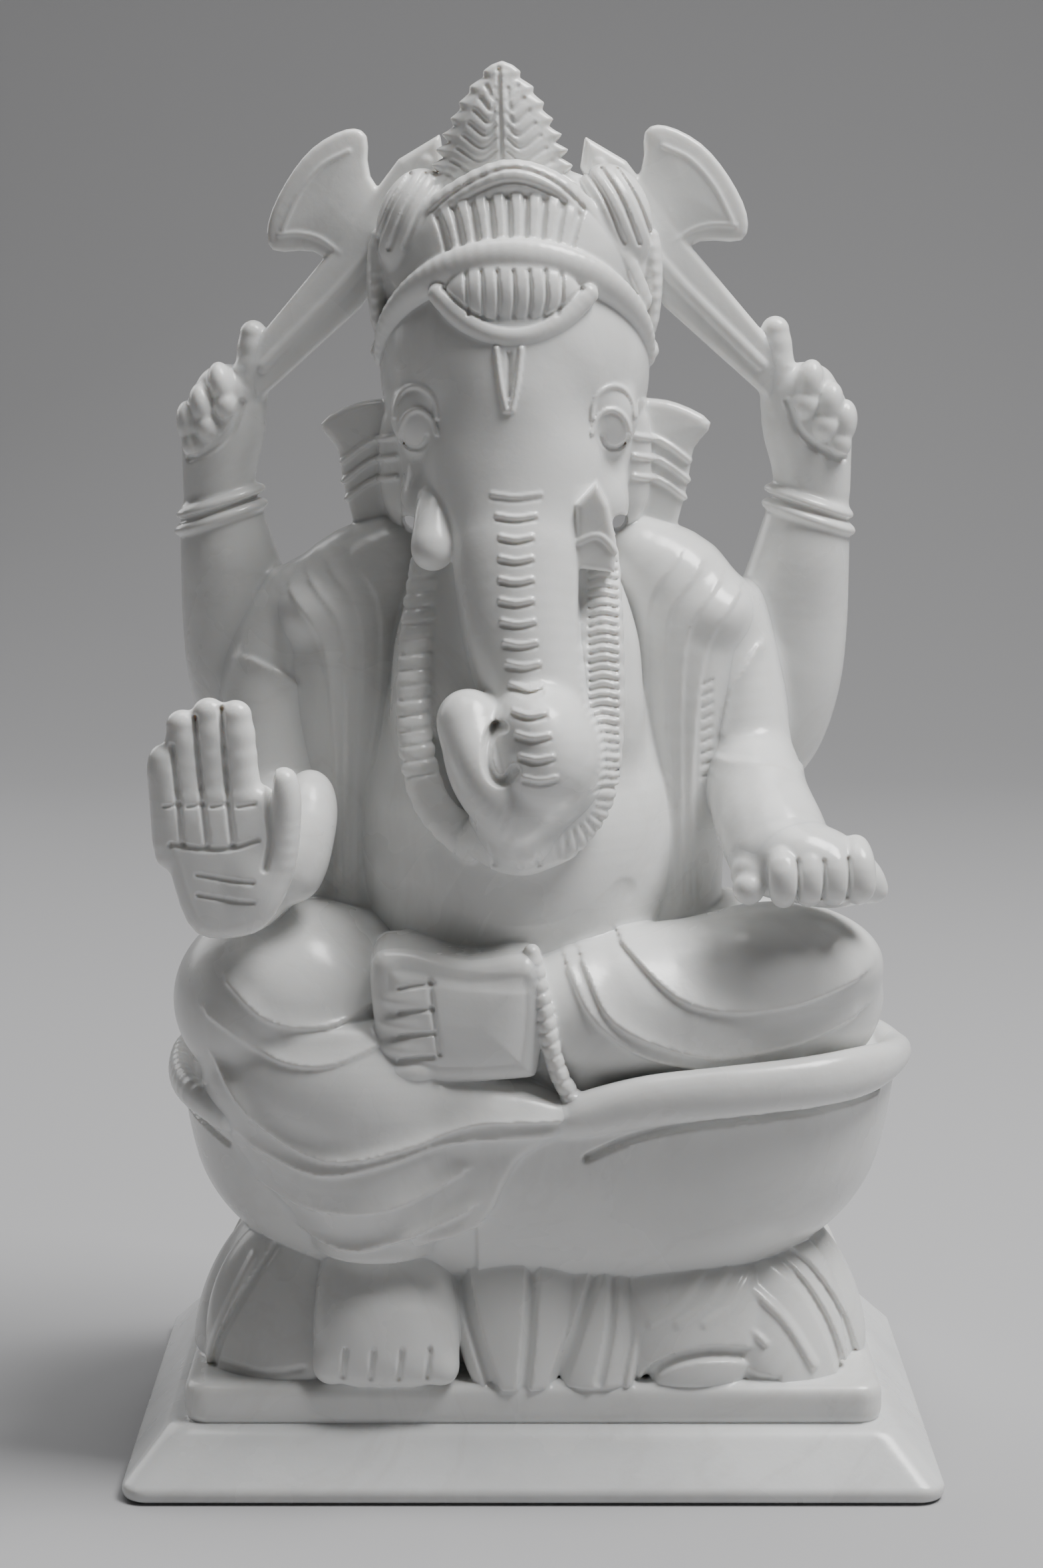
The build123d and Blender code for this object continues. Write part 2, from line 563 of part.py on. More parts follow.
with BuildPart() as crown_leaf_right:
    ellipsoid((-26, -6, 270), (8.5, 9, 12), roll=18)
    cut_by(head, crown_cap, crown_band, crown_arch, crown_fan, crown_spire)
    cut_by(right_axe_haft, right_axe_blade)
crown_leaf_right.part.label = "crown_leaf_right"
export_step(crown_leaf_right.part, "parts/crown_leaf_right.step")

with BuildPart() as crown_leaf_left:
    ellipsoid((18, -6, 271), (8.5, 9, 12), roll=-18)
    cut_by(head, crown_cap, crown_band, crown_arch, crown_fan, crown_spire)
    cut_by(left_axe_haft, left_axe_blade)
crown_leaf_left.part.label = "crown_leaf_left"
export_step(crown_leaf_left.part, "parts/crown_leaf_left.step")

with BuildPart() as forehead_ornament:
    ellipsoid((AXIS_X - 0.3, -24, 254), (18, 6, 10.5))
    cut_by(head, crown_cap, crown_band, crown_fan)
forehead_ornament.part.label = "forehead_ornament"
export_step(forehead_ornament.part, "parts/forehead_ornament.step")

print("written to parts, total height", TOTAL_H)
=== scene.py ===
"""Ganesha idol in polished white marble: the visual model.

Every piece is sculpted as a distance field in millimetres, in the frame of the CAD model.
A form stands for one CAD node, and everything in it is told by where it lies in that
node's box: 0 is the middle of the box and -1 and 1 are its sides.  So the carving keeps
the place and the size that the CAD gives it.  Neighbouring forms are blended, because
the surface of a carved block runs on over their borders.
"""
import math
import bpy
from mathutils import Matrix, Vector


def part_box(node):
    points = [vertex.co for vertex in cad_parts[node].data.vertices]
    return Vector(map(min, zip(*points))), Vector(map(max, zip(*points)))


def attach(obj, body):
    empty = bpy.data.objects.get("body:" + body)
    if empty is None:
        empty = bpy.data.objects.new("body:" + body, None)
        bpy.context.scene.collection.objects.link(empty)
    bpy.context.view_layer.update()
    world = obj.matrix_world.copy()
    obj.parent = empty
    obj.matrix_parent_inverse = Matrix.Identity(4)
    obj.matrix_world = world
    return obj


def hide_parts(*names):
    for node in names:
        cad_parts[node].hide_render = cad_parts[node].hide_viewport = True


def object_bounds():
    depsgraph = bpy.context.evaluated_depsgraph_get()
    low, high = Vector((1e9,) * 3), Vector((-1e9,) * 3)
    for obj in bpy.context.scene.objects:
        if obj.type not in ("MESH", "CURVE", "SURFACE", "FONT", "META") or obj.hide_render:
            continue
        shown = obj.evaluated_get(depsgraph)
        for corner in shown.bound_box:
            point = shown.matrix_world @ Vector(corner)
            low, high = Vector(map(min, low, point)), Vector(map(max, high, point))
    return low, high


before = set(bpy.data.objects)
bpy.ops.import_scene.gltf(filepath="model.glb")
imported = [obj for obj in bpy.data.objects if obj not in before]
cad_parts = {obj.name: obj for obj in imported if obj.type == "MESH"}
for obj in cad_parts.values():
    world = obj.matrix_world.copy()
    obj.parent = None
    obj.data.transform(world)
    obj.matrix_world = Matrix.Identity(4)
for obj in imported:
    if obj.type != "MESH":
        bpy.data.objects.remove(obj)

from concurrent.futures import ThreadPoolExecutor

import bpy
import numpy as np
import openvdb
from mathutils import Matrix, Vector

MM = 0.001
CAD_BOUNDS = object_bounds()
FINE = 1.0

REACH = 7.0        # mm around a shape in which its distance matters
LAP = 1.2          # mm by which a piece runs on under its neighbour
SINK = 0.5         # how steeply it dives there
BLOCK = 24         # voxels along a block
STRIDE = 6         # voxels between the samples that pick the blocks
SKIN = 1.4         # strides from the surface inside which a block is told finely
SPARE = 0.5        # mm added to that
DROP = 0.9         # mm over which a fold of cloth steps down
OUTSIDE = 9.0      # mm, the distance told where no form is near
FAR = 1e9          # mm, past everything
TINY = 1e-6        # these two keep a divisor from being nothing
SPECK = 1e-9
ARC_POINTS = 7


# ------ distance functions
def smooth_min(a, b, k):
    """The smaller of two distances, rounded over k."""
    if k <= 0.0:
        return np.minimum(a, b)
    h = np.maximum(k - np.abs(a - b), 0.0)
    return np.minimum(a, b) - h * h * (0.25 / k)


def smooth_max(a, b, k):
    return -smooth_min(-a, -b, k)


class Boxed:
    """Something with a lowest and a highest corner."""

    def near(self, low, high, reach):
        return bool(np.all(self.low - reach <= high) and np.all(self.high + reach >= low))


class Shape(Boxed):
    """A distance function with the box that holds its inside."""

    def __init__(self, low, high, distance):
        self.low = np.asarray(low, float)
        self.high = np.asarray(high, float)
        self.distance = distance


def turned(azimuth, lean, roll):
    """Rotation matrix: rolled about Y, then leant about X, then turned about Z, in degrees."""
    z, x, y = (Matrix.Rotation(math.radians(a), 3, axis)
               for a, axis in ((azimuth, "Z"), (lean, "X"), (roll, "Y")))
    return np.array(z @ x @ y, dtype=np.float32)


def half(normal, point):
    """Everything on the side of a plane that its normal points to."""
    n = np.asarray(normal, float)
    n = n / np.linalg.norm(n)
    offset = float(n.dot(point))

    def distance(x, y, z):
        return offset - (n[0] * x + n[1] * y + n[2] * z)

    return Shape(np.full(3, -FAR), np.full(3, FAR), distance)


def round_distance(x, y, z, rx, ry, rz):
    """Distance to an ellipsoid round the origin, exact at its surface."""
    x, y, z = x / rx, y / ry, z / rz
    k0 = np.sqrt(x * x + y * y + z * z)
    x, y, z = x / rx, y / ry, z / rz
    k1 = np.sqrt(x * x + y * y + z * z)
    return k0 * (k0 - 1.0) / (k1 + TINY)


def ball(centre, radii, azimuth=0, lean=0, roll=0):
    """Ellipsoid."""
    c = np.asarray(centre, np.float32)
    r = np.asarray(radii, np.float32)
    turn = azimuth or lean or roll
    m = turned(azimuth, lean, roll)
    extent = np.sqrt((m ** 2) @ (r ** 2))

    def distance(x, y, z):
        x, y, z = x - c[0], y - c[1], z - c[2]
        if turn:
            x, y, z = (m[0, 0] * x + m[1, 0] * y + m[2, 0] * z,
                       m[0, 1] * x + m[1, 1] * y + m[2, 1] * z,
                       m[0, 2] * x + m[1, 2] * y + m[2, 2] * z)
        return round_distance(x, y, z, *r)

    return Shape(c - extent, c + extent, distance)


def flowing(points, steps):
    """Points along a smooth curve through the given ones."""
    p = np.asarray(points, float)
    if len(p) < 3 or steps < 2:
        return p
    ends = np.vstack([2 * p[0] - p[1], p, 2 * p[-1] - p[-2]])
    out = []
    for i in range(1, len(ends) - 2):
        a, b, c, d = ends[i - 1], ends[i], ends[i + 1], ends[i + 2]
        for t in np.arange(steps) / steps:
            out.append(0.5 * (2 * b + (c - a) * t + (2 * a - 5 * b + 4 * c - d) * t ** 2
                              + (3 * b - a - 3 * c + d) * t ** 3))
    out.append(p[-1])
    return np.array(out)


def limb(stations, across=(1, 0, 0), steps=4):
    """Shapes of a rounded limb through (x, y, z, half width, half depth) stations."""
    path = flowing(stations, steps)
    shapes = []
    for a, b in zip(path[:-1], path[1:]):
        shapes.append(link(a, b, across))
    return shapes


def link(a, b, across):
    """One stretch of a limb, with rounded ends."""
    start, end = a[:3], b[:3]
    length = float(np.linalg.norm(end - start))
    t = (end - start) / length
    s = np.asarray(across, float)
    s = s - t * s.dot(t)
    s = s / np.linalg.norm(s)
    n = np.cross(t, s)
    t, s, n, o = (np.asarray(v, np.float32) for v in (t, s, n, start))
    wide = max(a[3], a[4], b[3], b[4])

    def distance(x, y, z):
        x, y, z = x - o[0], y - o[1], z - o[2]
        w = t[0] * x + t[1] * y + t[2] * z
        u = s[0] * x + s[1] * y + s[2] * z
        v = n[0] * x + n[1] * y + n[2] * z
        f = np.clip(w / length, 0.0, 1.0)
        w = w - f * length
        ra = a[3] + (b[3] - a[3]) * f
        rb = a[4] + (b[4] - a[4]) * f
        return round_distance(u, v, w, ra, rb, np.minimum(ra, rb))

    low = np.minimum(start, end) - wide
    high = np.maximum(start, end) + wide
    return Shape(low, high, distance)


def stretch(u, v, a, b):
    """Squared distance to the line from a to b, the line's run, and the way from a."""
    ex, ey = b[0] - a[0], b[1] - a[1]
    wx, wy = u - a[0], v - a[1]
    t = np.clip((wx * ex + wy * ey) / (ex * ex + ey * ey + SPECK), 0.0, 1.0)
    dx, dy = wx - ex * t, wy - ey * t
    return dx * dx + dy * dy, ex, ey, wx, wy


def outline_distance(u, v, points):
    """Signed distance to a closed outline in a plane."""
    p = np.asarray(points, np.float32)
    best = inside = None
    for a, b in zip(p, np.roll(p, -1, axis=0)):
        d, ex, ey, _, _ = stretch(u, v, a, b)
        best = d if best is None else np.minimum(best, d)
        crosses = ((a[1] > v) != (b[1] > v)) & (u < ex * (v - a[1]) / (ey if ey else SPECK) + a[0])
        inside = crosses if inside is None else inside ^ crosses
    return np.where(inside, -1.0, 1.0) * np.sqrt(best)


def plate(outline, y_front, y_back, edge=1.5, steps=1, bulge=0.0):
    """Plate facing the front, from an outline of (x, z) points, with rounded edges."""
    p = np.asarray(outline, float)
    if steps > 1:
        ring = flowing(np.vstack([p[-1:], p, p[:2]]), steps)
        p = ring[steps:-steps - 1] if len(ring) > 2 * steps else ring
    mid, half = 0.5 * (y_front + y_back), 0.5 * (y_back - y_front)

    def distance(x, y, z):
        shape = np.broadcast(x, z).shape
        d2 = outline_distance(np.broadcast_to(x, shape), np.broadcast_to(z, shape), p) + edge
        thick = half + bulge * (1.0 - np.exp(np.minimum(d2, 0.0) * 0.25)) if bulge else half
        dy = np.abs(y - mid) - thick + edge
        outer = np.sqrt(np.maximum(d2, 0.0) ** 2 + np.maximum(dy, 0.0) ** 2)
        return outer + np.minimum(np.maximum(d2, dy), 0.0) - edge

    low = (p[:, 0].min(), y_front - bulge, p[:, 1].min())
    high = (p[:, 0].max(), y_back + bulge, p[:, 1].max())
    return Shape(low, high, distance)


def vessel(levels, edge=1.0, steps=1):
    """Upright body round x = y = 0, with rounded-oblong levels: (z, half width, half depth, corner)."""
    lv = flowing(levels, steps)
    z0, z1 = lv[0, 0], lv[-1, 0]
    mid, half = 0.5 * (z0 + z1), 0.5 * (z1 - z0)
    grade = np.abs(np.diff(lv[:, 1]) / np.maximum(np.diff(lv[:, 0]), TINY)).max()
    scale = 1.0 / math.sqrt(1.0 + min(grade, 1.2) ** 2)

    def distance(x, y, z):
        hw, hd, cr = (np.interp(z, lv[:, 0], lv[:, i]).astype(np.float32) for i in (1, 2, 3))
        qx = np.abs(x) - hw + cr
        qy = np.abs(y) - hd + cr
        side = np.sqrt(np.maximum(qx, 0.0) ** 2 + np.maximum(qy, 0.0) ** 2)
        side = (side + np.minimum(np.maximum(qx, qy), 0.0) - cr) * scale
        return smooth_max(side, np.abs(z - mid) - half, edge)

    wide, deep = lv[:, 1].max(), lv[:, 2].max()
    return Shape((-wide, -deep, z0), (wide, deep, z1), distance)


def round_stack(levels, edge=1.0, steps=4):
    """Upright body with elliptical levels: (x, y, z, half width, half depth)."""
    lv = flowing(sorted(levels, key=lambda level: level[2]), steps)
    z0, z1 = lv[0, 2], lv[-1, 2]
    mid, half = 0.5 * (z0 + z1), 0.5 * (z1 - z0)

    def distance(x, y, z):
        cx, cy, hw, hd = (np.interp(z, lv[:, 2], lv[:, i]).astype(np.float32)
                          for i in (0, 1, 3, 4))
        u, v = (x - cx) / hw, (y - cy) / hd
        k0 = np.sqrt(u * u + v * v)
        k1 = np.sqrt((u / hw) ** 2 + (v / hd) ** 2)
        side = 0.92 * k0 * (k0 - 1.0) / (k1 + TINY)
        return smooth_max(side, np.abs(z - mid) - half, edge)

    low = ((lv[:, 0] - lv[:, 3]).min(), (lv[:, 1] - lv[:, 4]).min(), z0)
    high = ((lv[:, 0] + lv[:, 3]).max(), (lv[:, 1] + lv[:, 4]).max(), z1)
    return Shape(low, high, distance)


def path_distance(u, v, points):
    """Distance to an open line in a plane, less than zero on its right."""
    p = np.asarray(points, np.float32)
    best = side = None
    for a, b in zip(p[:-1], p[1:]):
        d, ex, ey, wx, wy = stretch(u, v, a, b)
        left = ex * wy - ey * wx
        side = left if best is None else np.where(d < best, left, side)
        best = d if best is None else np.minimum(best, d)
    return np.copysign(np.sqrt(best), side)


def arc(middle, radii, start, end):
    """Points along an elliptical arc, from one angle to another in degrees."""
    angles = np.radians(np.linspace(start, end, ARC_POINTS))
    return [(middle[0] + radii[0] * math.cos(a), middle[1] + radii[1] * math.sin(a)) for a in angles]


def mirrored(points, side):
    """The same points on the figure's left (1) or right (-1)."""
    return [(side * p[0],) + tuple(p[1:]) for p in points]


# ------ forms
FORMS = []


class Form(Boxed):
    """One carved form, told in the box of its CAD node."""

    def __init__(self, node, piece, blend=1.0, voxel=0.5):
        self.node = node
        self.piece = piece
        self.blend = blend
        self.voxel = voxel * FINE
        self.steps = []
        self.low = np.full(3, FAR)
        self.high = np.full(3, -FAR)
        box_low, box_high = np.array(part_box(node), float) / MM
        self.middle = 0.5 * (box_low + box_high)
        self.half = 0.5 * (box_high - box_low)
        FORMS.append(self)

    def spot(self, point):
        """Millimetres of a place in the box."""
        return self.middle + self.half * np.asarray(point, float)

    def flat(self, points, plane="xz"):
        """Millimetres of points told in one plane of the box."""
        i, j = ("xyz".index(c) for c in plane)
        p = np.asarray(points, float)
        return np.column_stack([self.middle[i] + self.half[i] * p[:, 0],
                                self.middle[j] + self.half[j] * p[:, 1]])

    def stations(self, given, across):
        """A limb's stations in mm.  Its widths are told against the sides they lie along."""
        g = np.asarray(given, float)
        out = g.copy()
        out[:, :3] = self.middle + self.half * g[:, :3]
        along = int(np.argmax(np.abs(out[-1, :3] - out[0, :3])))
        free = [i for i in range(3) if i != along]
        wide = int(np.argmax(np.abs(across)))
        wide = wide if wide in free else free[0]
        deep = free[0] if wide == free[1] else free[1]
        out[:, 3] *= self.half[wide]
        out[:, 4] *= self.half[deep]
        return out

    def put(self, shapes, k):
        """Joins shapes to the form, rounded over k mm."""
        for s in shapes if isinstance(shapes, list) else [shapes]:
            self.steps.append(("add", s, k))
            self.low = np.minimum(self.low, s.low)
            self.high = np.maximum(self.high, s.high)
        return self

    def egg(self, at, radii, azimuth, lean, roll):
        """An ellipsoid.  Turned sideways, its width lies along the box's depth."""
        sides = self.half[[1, 0, 2]] if 45 <= abs(azimuth) <= 135 else self.half
        return ball(self.spot(at), np.asarray(radii) * sides, azimuth, lean, roll)

    def ball(self, at, radii, azimuth=0, lean=0, roll=0, k=1.0):
        return self.put(self.egg(at, radii, azimuth, lean, roll), k)

    def limb(self, given, across=(1, 0, 0), steps=4, k=1.0):
        return self.put(limb(self.stations(given, across), across, steps), k)

    def stack(self, levels, edge=3.0, k=1.0):
        scale = np.append(self.half, self.half[:2])
        shift = np.append(self.middle, (0.0, 0.0))
        return self.put(round_stack([tuple(shift + scale * level) for level in levels], edge), k)

    def vessel(self, levels, edge=2.0, width=None, depth=None, steps=1):
        wide, deep = width or self.half[0], depth or self.half[1]
        told = [(self.middle[2] + self.half[2] * z, wide * w, deep * d, deep * c)
                for z, w, d, c in levels]
        return self.put(vessel(told, edge, steps), 1.0)

    def plate(self, outline, front, back, edge=1.5, steps=1, bulge=0.0, k=1.0):
        y = self.middle[1] + self.half[1] * np.array([front, back])
        return self.put(plate(self.flat(outline), y[0], y[1], edge, steps, bulge), k)

    def trim(self, normal, at, k=0.8):
        """Takes away what lies on the side of a plane that its normal points to."""
        self.steps.append(("cut", half(normal, self.spot(at)), k))
        return self

    def hollow(self, at, radii, k=1.0, on=()):
        for form in (self,) + tuple(on):
            form.steps.append(("cut", self.egg(at, radii, 0, 0, 0), k))
        return self

    def relief(self, points, profile, reach, steps, front, behind, plane, on):
        """Adds a profile along a line, in front of or behind a place in the box's depth."""
        p = flowing(self.flat(points, plane), steps)
        i, j = ("xyz".index(c) for c in plane)
        low, high = np.full(3, -FAR), np.full(3, FAR)
        low[[i, j]], high[[i, j]] = p.min(axis=0) - reach, p.max(axis=0) + reach
        if front is not None:
            high[1] = front = self.middle[1] + self.half[1] * front
        if behind is not None:
            low[1] = behind = self.middle[1] + self.half[1] * behind

        def distance(x, y, z):
            uv = ((x, y, z)[i], (x, y, z)[j])
            shape = np.broadcast(*uv).shape
            d = path_distance(np.broadcast_to(uv[0], shape), np.broadcast_to(uv[1], shape), p)
            d = profile(d)
            if front is not None:
                d = d * np.clip(front - y, 0.0, 1.0)
            if behind is not None:
                d = d * np.clip(y - behind, 0.0, 1.0)
            return d

        for form in (self,) + tuple(on):
            form.steps.append(("relief", Shape(low, high, distance), 0.0))
        return self

    def line(self, points, depth=0.5, width=0.6, steps=4, front=None, behind=None, plane="xz", on=()):
        """A line cut to a depth in mm, or raised if the depth is negative."""
        def profile(d):
            return depth * np.maximum(1.0 - (d / width) ** 2, 0.0)

        return self.relief(points, profile, width, steps, front, behind, plane, on)

    def fold(self, points, height, width, front=None, steps=4, on=()):
        """Edge of a layer of cloth: proud on the left of its line, dropping to the right."""
        def profile(d):
            slope = np.clip(1.0 - d / width, 0.0, 1.0) ** 2
            return -height * slope * np.clip(d / DROP + 1.0, 0.0, 1.0)

        return self.relief(points, profile, width, steps, front, None, "xz", on)

    def distance(self, x, y, z, low, high):
        """The form's distance on a block of points, or None if it is nowhere near."""
        d = None
        for kind, shape, k in self.steps:
            if kind == "add":
                if shape.near(low, high, REACH + k):
                    s = shape.distance(x, y, z)
                    d = s if d is None else smooth_min(d, s, k)
            elif d is not None and kind == "cut":
                if shape.near(low, high, k):
                    d = smooth_max(d, -shape.distance(x, y, z), k)
            elif d is not None and shape.near(low, high, 0.5):
                d = d + shape.distance(x, y, z)
        return d


def carve(forms, x, y, z, low, high):
    """The field of one piece, made of some forms, on a block of points."""
    whole = own = other = None
    for f in FORMS:
        if not f.near(low, high, REACH + f.blend):
            continue
        d = f.distance(x, y, z, low, high)
        if d is None:
            continue
        whole = d if whole is None else smooth_min(whole, d, f.blend)
        if f in forms:
            own = d if own is None else np.minimum(own, d)
        else:
            other = d if other is None else np.minimum(other, d)
    shape = np.broadcast(x, y, z).shape
    if own is None:
        return np.full(shape, OUTSIDE, np.float32)
    if other is None:
        return np.broadcast_to(whole, shape)
    border = 0.5 * (own - other)
    return np.maximum(whole + SINK * np.maximum(border, 0.0), border - LAP)


def sculpt(forms):
    """Points and quads of one piece."""
    h = min(f.voxel for f in forms)
    pad = 2 * LAP + 3 * h
    low = np.min([f.low for f in forms], axis=0) - pad
    high = np.max([f.high for f in forms], axis=0) + pad
    blocks = np.ceil((high - low) / (h * BLOCK)).astype(int)
    count = blocks * BLOCK
    axes = [np.float32(low[i] + h * np.arange(count[i])) for i in range(3)]
    coarse = [a[::STRIDE] for a in axes]
    grid = np.ix_(*coarse)
    far = low + h * count
    rough = np.asarray(carve(forms, *grid, low, far))
    field = rough.repeat(STRIDE, 0).repeat(STRIDE, 1).repeat(STRIDE, 2).astype(np.float32)
    near = np.abs(rough) < SKIN * h * STRIDE + SPARE
    per = BLOCK // STRIDE
    for i in range(blocks[0]):
        for j in range(blocks[1]):
            for k in range(blocks[2]):
                part = near[i * per:(i + 1) * per + 1, j * per:(j + 1) * per + 1,
                            k * per:(k + 1) * per + 1]
                if not part.any():
                    continue
                cell = tuple(slice(n * BLOCK, (n + 1) * BLOCK) for n in (i, j, k))
                x, y, z = (axes[n][cell[n]] for n in range(3))
                b_low = np.array([x[0], y[0], z[0]])
                b_high = np.array([x[-1], y[-1], z[-1]])
                field[cell] = carve(forms, *np.ix_(x, y, z), b_low, b_high)
    volume = openvdb.FloatGrid()
    volume.copyFromArray(field)
    points, quads = volume.convertToQuads(0.0)
    return points * h + low, quads


def mesh_object(name, points, quads):
    """Blender object of a sculpted piece, in metres."""
    mesh = bpy.data.meshes.new(name + "_carved")
    mesh.vertices.add(len(points))
    mesh.vertices.foreach_set("co", np.float32(points * MM).ravel())
    mesh.loops.add(quads.size)
    mesh.loops.foreach_set("vertex_index", quads[:, ::-1].astype(np.int32).ravel())
    mesh.polygons.add(len(quads))
    mesh.polygons.foreach_set("loop_start", np.arange(0, quads.size, 4, dtype=np.int32))
    mesh.polygons.foreach_set("loop_total", np.full(len(quads), 4, np.int32))
    mesh.update(calc_edges=True)
    mesh.shade_smooth()
    obj = bpy.data.objects.new(name + "_carved", mesh)
    bpy.context.scene.collection.objects.link(obj)
    return obj
# ------ base and lotus seat
Form("plinth", "plinth", voxel=0.8).vessel(
    [(-1, 0.998, 0.998, 0.1), (-0.55, 0.998, 0.998, 0.1), (1, 0.888, 0.83, 0.1)], edge=2.0)
Form("step_slab", "step_slab", blend=0.4, voxel=0.7).vessel(
    [(-1.1, 1, 1, 0.12), (1, 1, 1, 0.12)], edge=3.0)
Form("seat_stem", "lotus_foot", blend=0.8).vessel(
    [(-1.15, 0.93, 0.94, 0.74), (1.2, 1.03, 1.05, 0.85)], edge=1.0)

DOWN = (0, 0, -1)
RIB = 0.8          # mm, half the width of most grooves on a petal


def petal(node, at, radii, azimuth, lean, blend=0.6):
    """Down-turned petal of the lotus foot, ending on the step."""
    form = Form(node, "lotus_foot", blend=blend)
    return form.ball(at, radii, azimuth, lean)


def rest_on_step(form):
    return form.trim(DOWN, (0, 0, -1))


# back and side petals stand in groups of leaves, each leaf with a middle rib
for name in ("petal_rear_left", "petal_rear_right"):
    rear = Form(name, "lotus_foot", blend=0.6)
    for x in (-0.57, 0, 0.57):
        rear.ball((x, -0.13 - 0.3 * x * x, 0.05), (0.37, 0.64, 1.6), 180, -24, k=0.5)
    for x in (-0.57, 0, 0.57):
        rear.line([(x, -0.75), (x + 0.02, 0.2), (x, 1)], -0.5, RIB, behind=-1.5)
        for side in (-1, 1):
            rear.line([(x + 0.14 * side, 1), (x + 0.22 * side, 0.1), (x + 0.1 * side, -0.8)],
                      0.4, RIB, behind=-1.5)
    rest_on_step(rear)

for name, side in (("petal_side_left", 1), ("petal_side_right", -1)):
    flank = Form(name, "lotus_foot", blend=0.6)
    for y in (-0.65, 0.14, 0.84):
        flank.ball((-0.1 * side, y, 0.02), (0.46, 0.67, 1.8), 90 * side, -30, k=0.5)
    for y in (-0.65, 0.14, 0.84):
        flank.line([(y, -0.85), (y + 0.02, 0.3), (y, 1.2)], -0.5, RIB, plane="yz")
        for way in (-1, 1):
            flank.line([(y + 0.16 * way, 1.1), (y + 0.26 * way, 0.1), (y + 0.14 * way, -0.8)],
                       0.4, RIB, plane="yz")
    rest_on_step(flank)

corner = petal("petal_corner_right", (0.14, -0.05, -0.2), (1.17, 0.62, 1.67), -22, -26)
corner.ball((-0.28, 0.85, -0.12), (1.16, 0.55, 1.63), -48, -30, k=0.5)
corner.line([(-0.85, -1.05), (-0.7, -0.45), (-0.4, 0.15), (0.15, 1)], 0.9, 0.9)
corner.line([(-1, -1.05), (-0.9, -0.7), (-0.6, 0.05), (-0.25, 0.75)], -0.7, 1.0)
corner.line([(-0.7, -0.85), (0, -0.9), (0.55, -0.8)], 0.5, RIB)
rest_on_step(corner)

corner = petal("petal_corner_left", (-0.15, -0.23, -0.16), (1.12, 0.57, 1.6), 22, -30)
corner.ball((0.28, 0.76, -0.08), (1.15, 0.6, 1.7), 48, -30, k=0.5)
corner.line([(-1.4, 0), (-1.2, -0.4), (-0.8, -0.85), (-0.3, -0.95)], 0.7, RIB)
corner.line([(-1.1, 0), (-0.8, -0.1), (-0.5, -0.35)], -0.8, 0.9)
corner.line([(-0.95, 0.65), (-0.5, 0.3), (-0.1, -0.1), (0.3, -0.75)], -1.0, 1.3)
for shift in (0, 0.27):
    corner.line([(shift - 0.65, 1.1), (shift, 0.6), (shift + 0.5, -0.15), (shift + 0.8, -1)], 1.4, 1.3)
rest_on_step(corner)

arch_petal = petal("petal_front_arch", (-0.2, 0, 0.05), (1.15, 0.8, 1.5), 0, -24)
arch_petal.line(arc((0.1, -1), (0.95, 0.6), 180, 0), 2.2, 1.7)
for x in (-0.5, -0.1, 0.3):
    arch_petal.line([(x - 0.3, 0.1), (x + 0.1, 0.4), (x + 0.45, 0.9)], -0.45, 1.2)
rest_on_step(arch_petal)

vee = petal("petal_front_centre", (-0.08, 0.43, 0.35), (1.1, 1, 1.95), 0, -21)
vee.line([(0.15, 1.05), (0.1, 0.1), (0, -0.95)], 2.0, 1.6)
for side in (-1, 1):
    vee.line([(1.1 * side, 1.1), (0.85 * side, 0), (0.5 * side, -1)], 2.0, 1.8)
rest_on_step(vee)

keel = petal("petal_front_keel", (-0.28, 0.25, -0.1), (1.07, 1, 1.83), 0, -22, blend=0.4)
keel.line([(-0.2, 1), (-0.6, 0.1), (-1.1, -1)], 1.6, 1.5)
keel.line([(0.6, 1), (0.7, 0.1), (0.45, -1)], -1.3, 1.3)
keel.line([(0.15, 1), (0.05, 0), (-0.2, -0.9)], 1.2, 1.2)
rest_on_step(keel)

# up-turned petals that make the bowl: height in the box, then shares of its reach
RISE = ((-1.05, 0.70, 0.75), (-0.8, 0.79, 0.83), (-0.5, 0.87, 0.89), (-0.1, 0.93, 0.94),
        (0.4, 0.965, 0.975), (1.3, 1, 1))
BACKWARD, FORWARD = (0, 1, 0), (0, -1, 0)


def lobe(node):
    """Part of the bowl.  The bowl is round the middle of the plinth."""
    form = Form(node, "lotus_bowl", blend=0.7)
    low, high = form.middle - form.half, form.middle + form.half
    reach_x = max(abs(low[0]), abs(high[0]))
    reach_y = max(abs(low[1]), abs(high[1]))
    return form.vessel([(z, w, d, 0.82 * d) for z, w, d in RISE], 3.0,
                       width=reach_x, depth=reach_y, steps=6)


rear = lobe("seat_petal_rear").trim(FORWARD, (0, -1, 0), 0.3).trim((0, 0, 1), (0, 0, 1.1), 1.5)
for x in (-0.7, -0.35, 0, 0.35, 0.7):
    rear.line([(x, 1), (0.9 * x, 0.15), (0.72 * x, -0.7)], 0.8, 0.9, behind=-1)
    rear.line([(x + 0.17, 0.85), (0.9 * x + 0.15, 0.1), (0.72 * x + 0.12, -0.6)], -0.5, 1.4, behind=-1)
rear.line([(-1.05, 0.84), (0, 0.84), (1.05, 0.84)], 0.6, 0.8, steps=1, behind=-1)

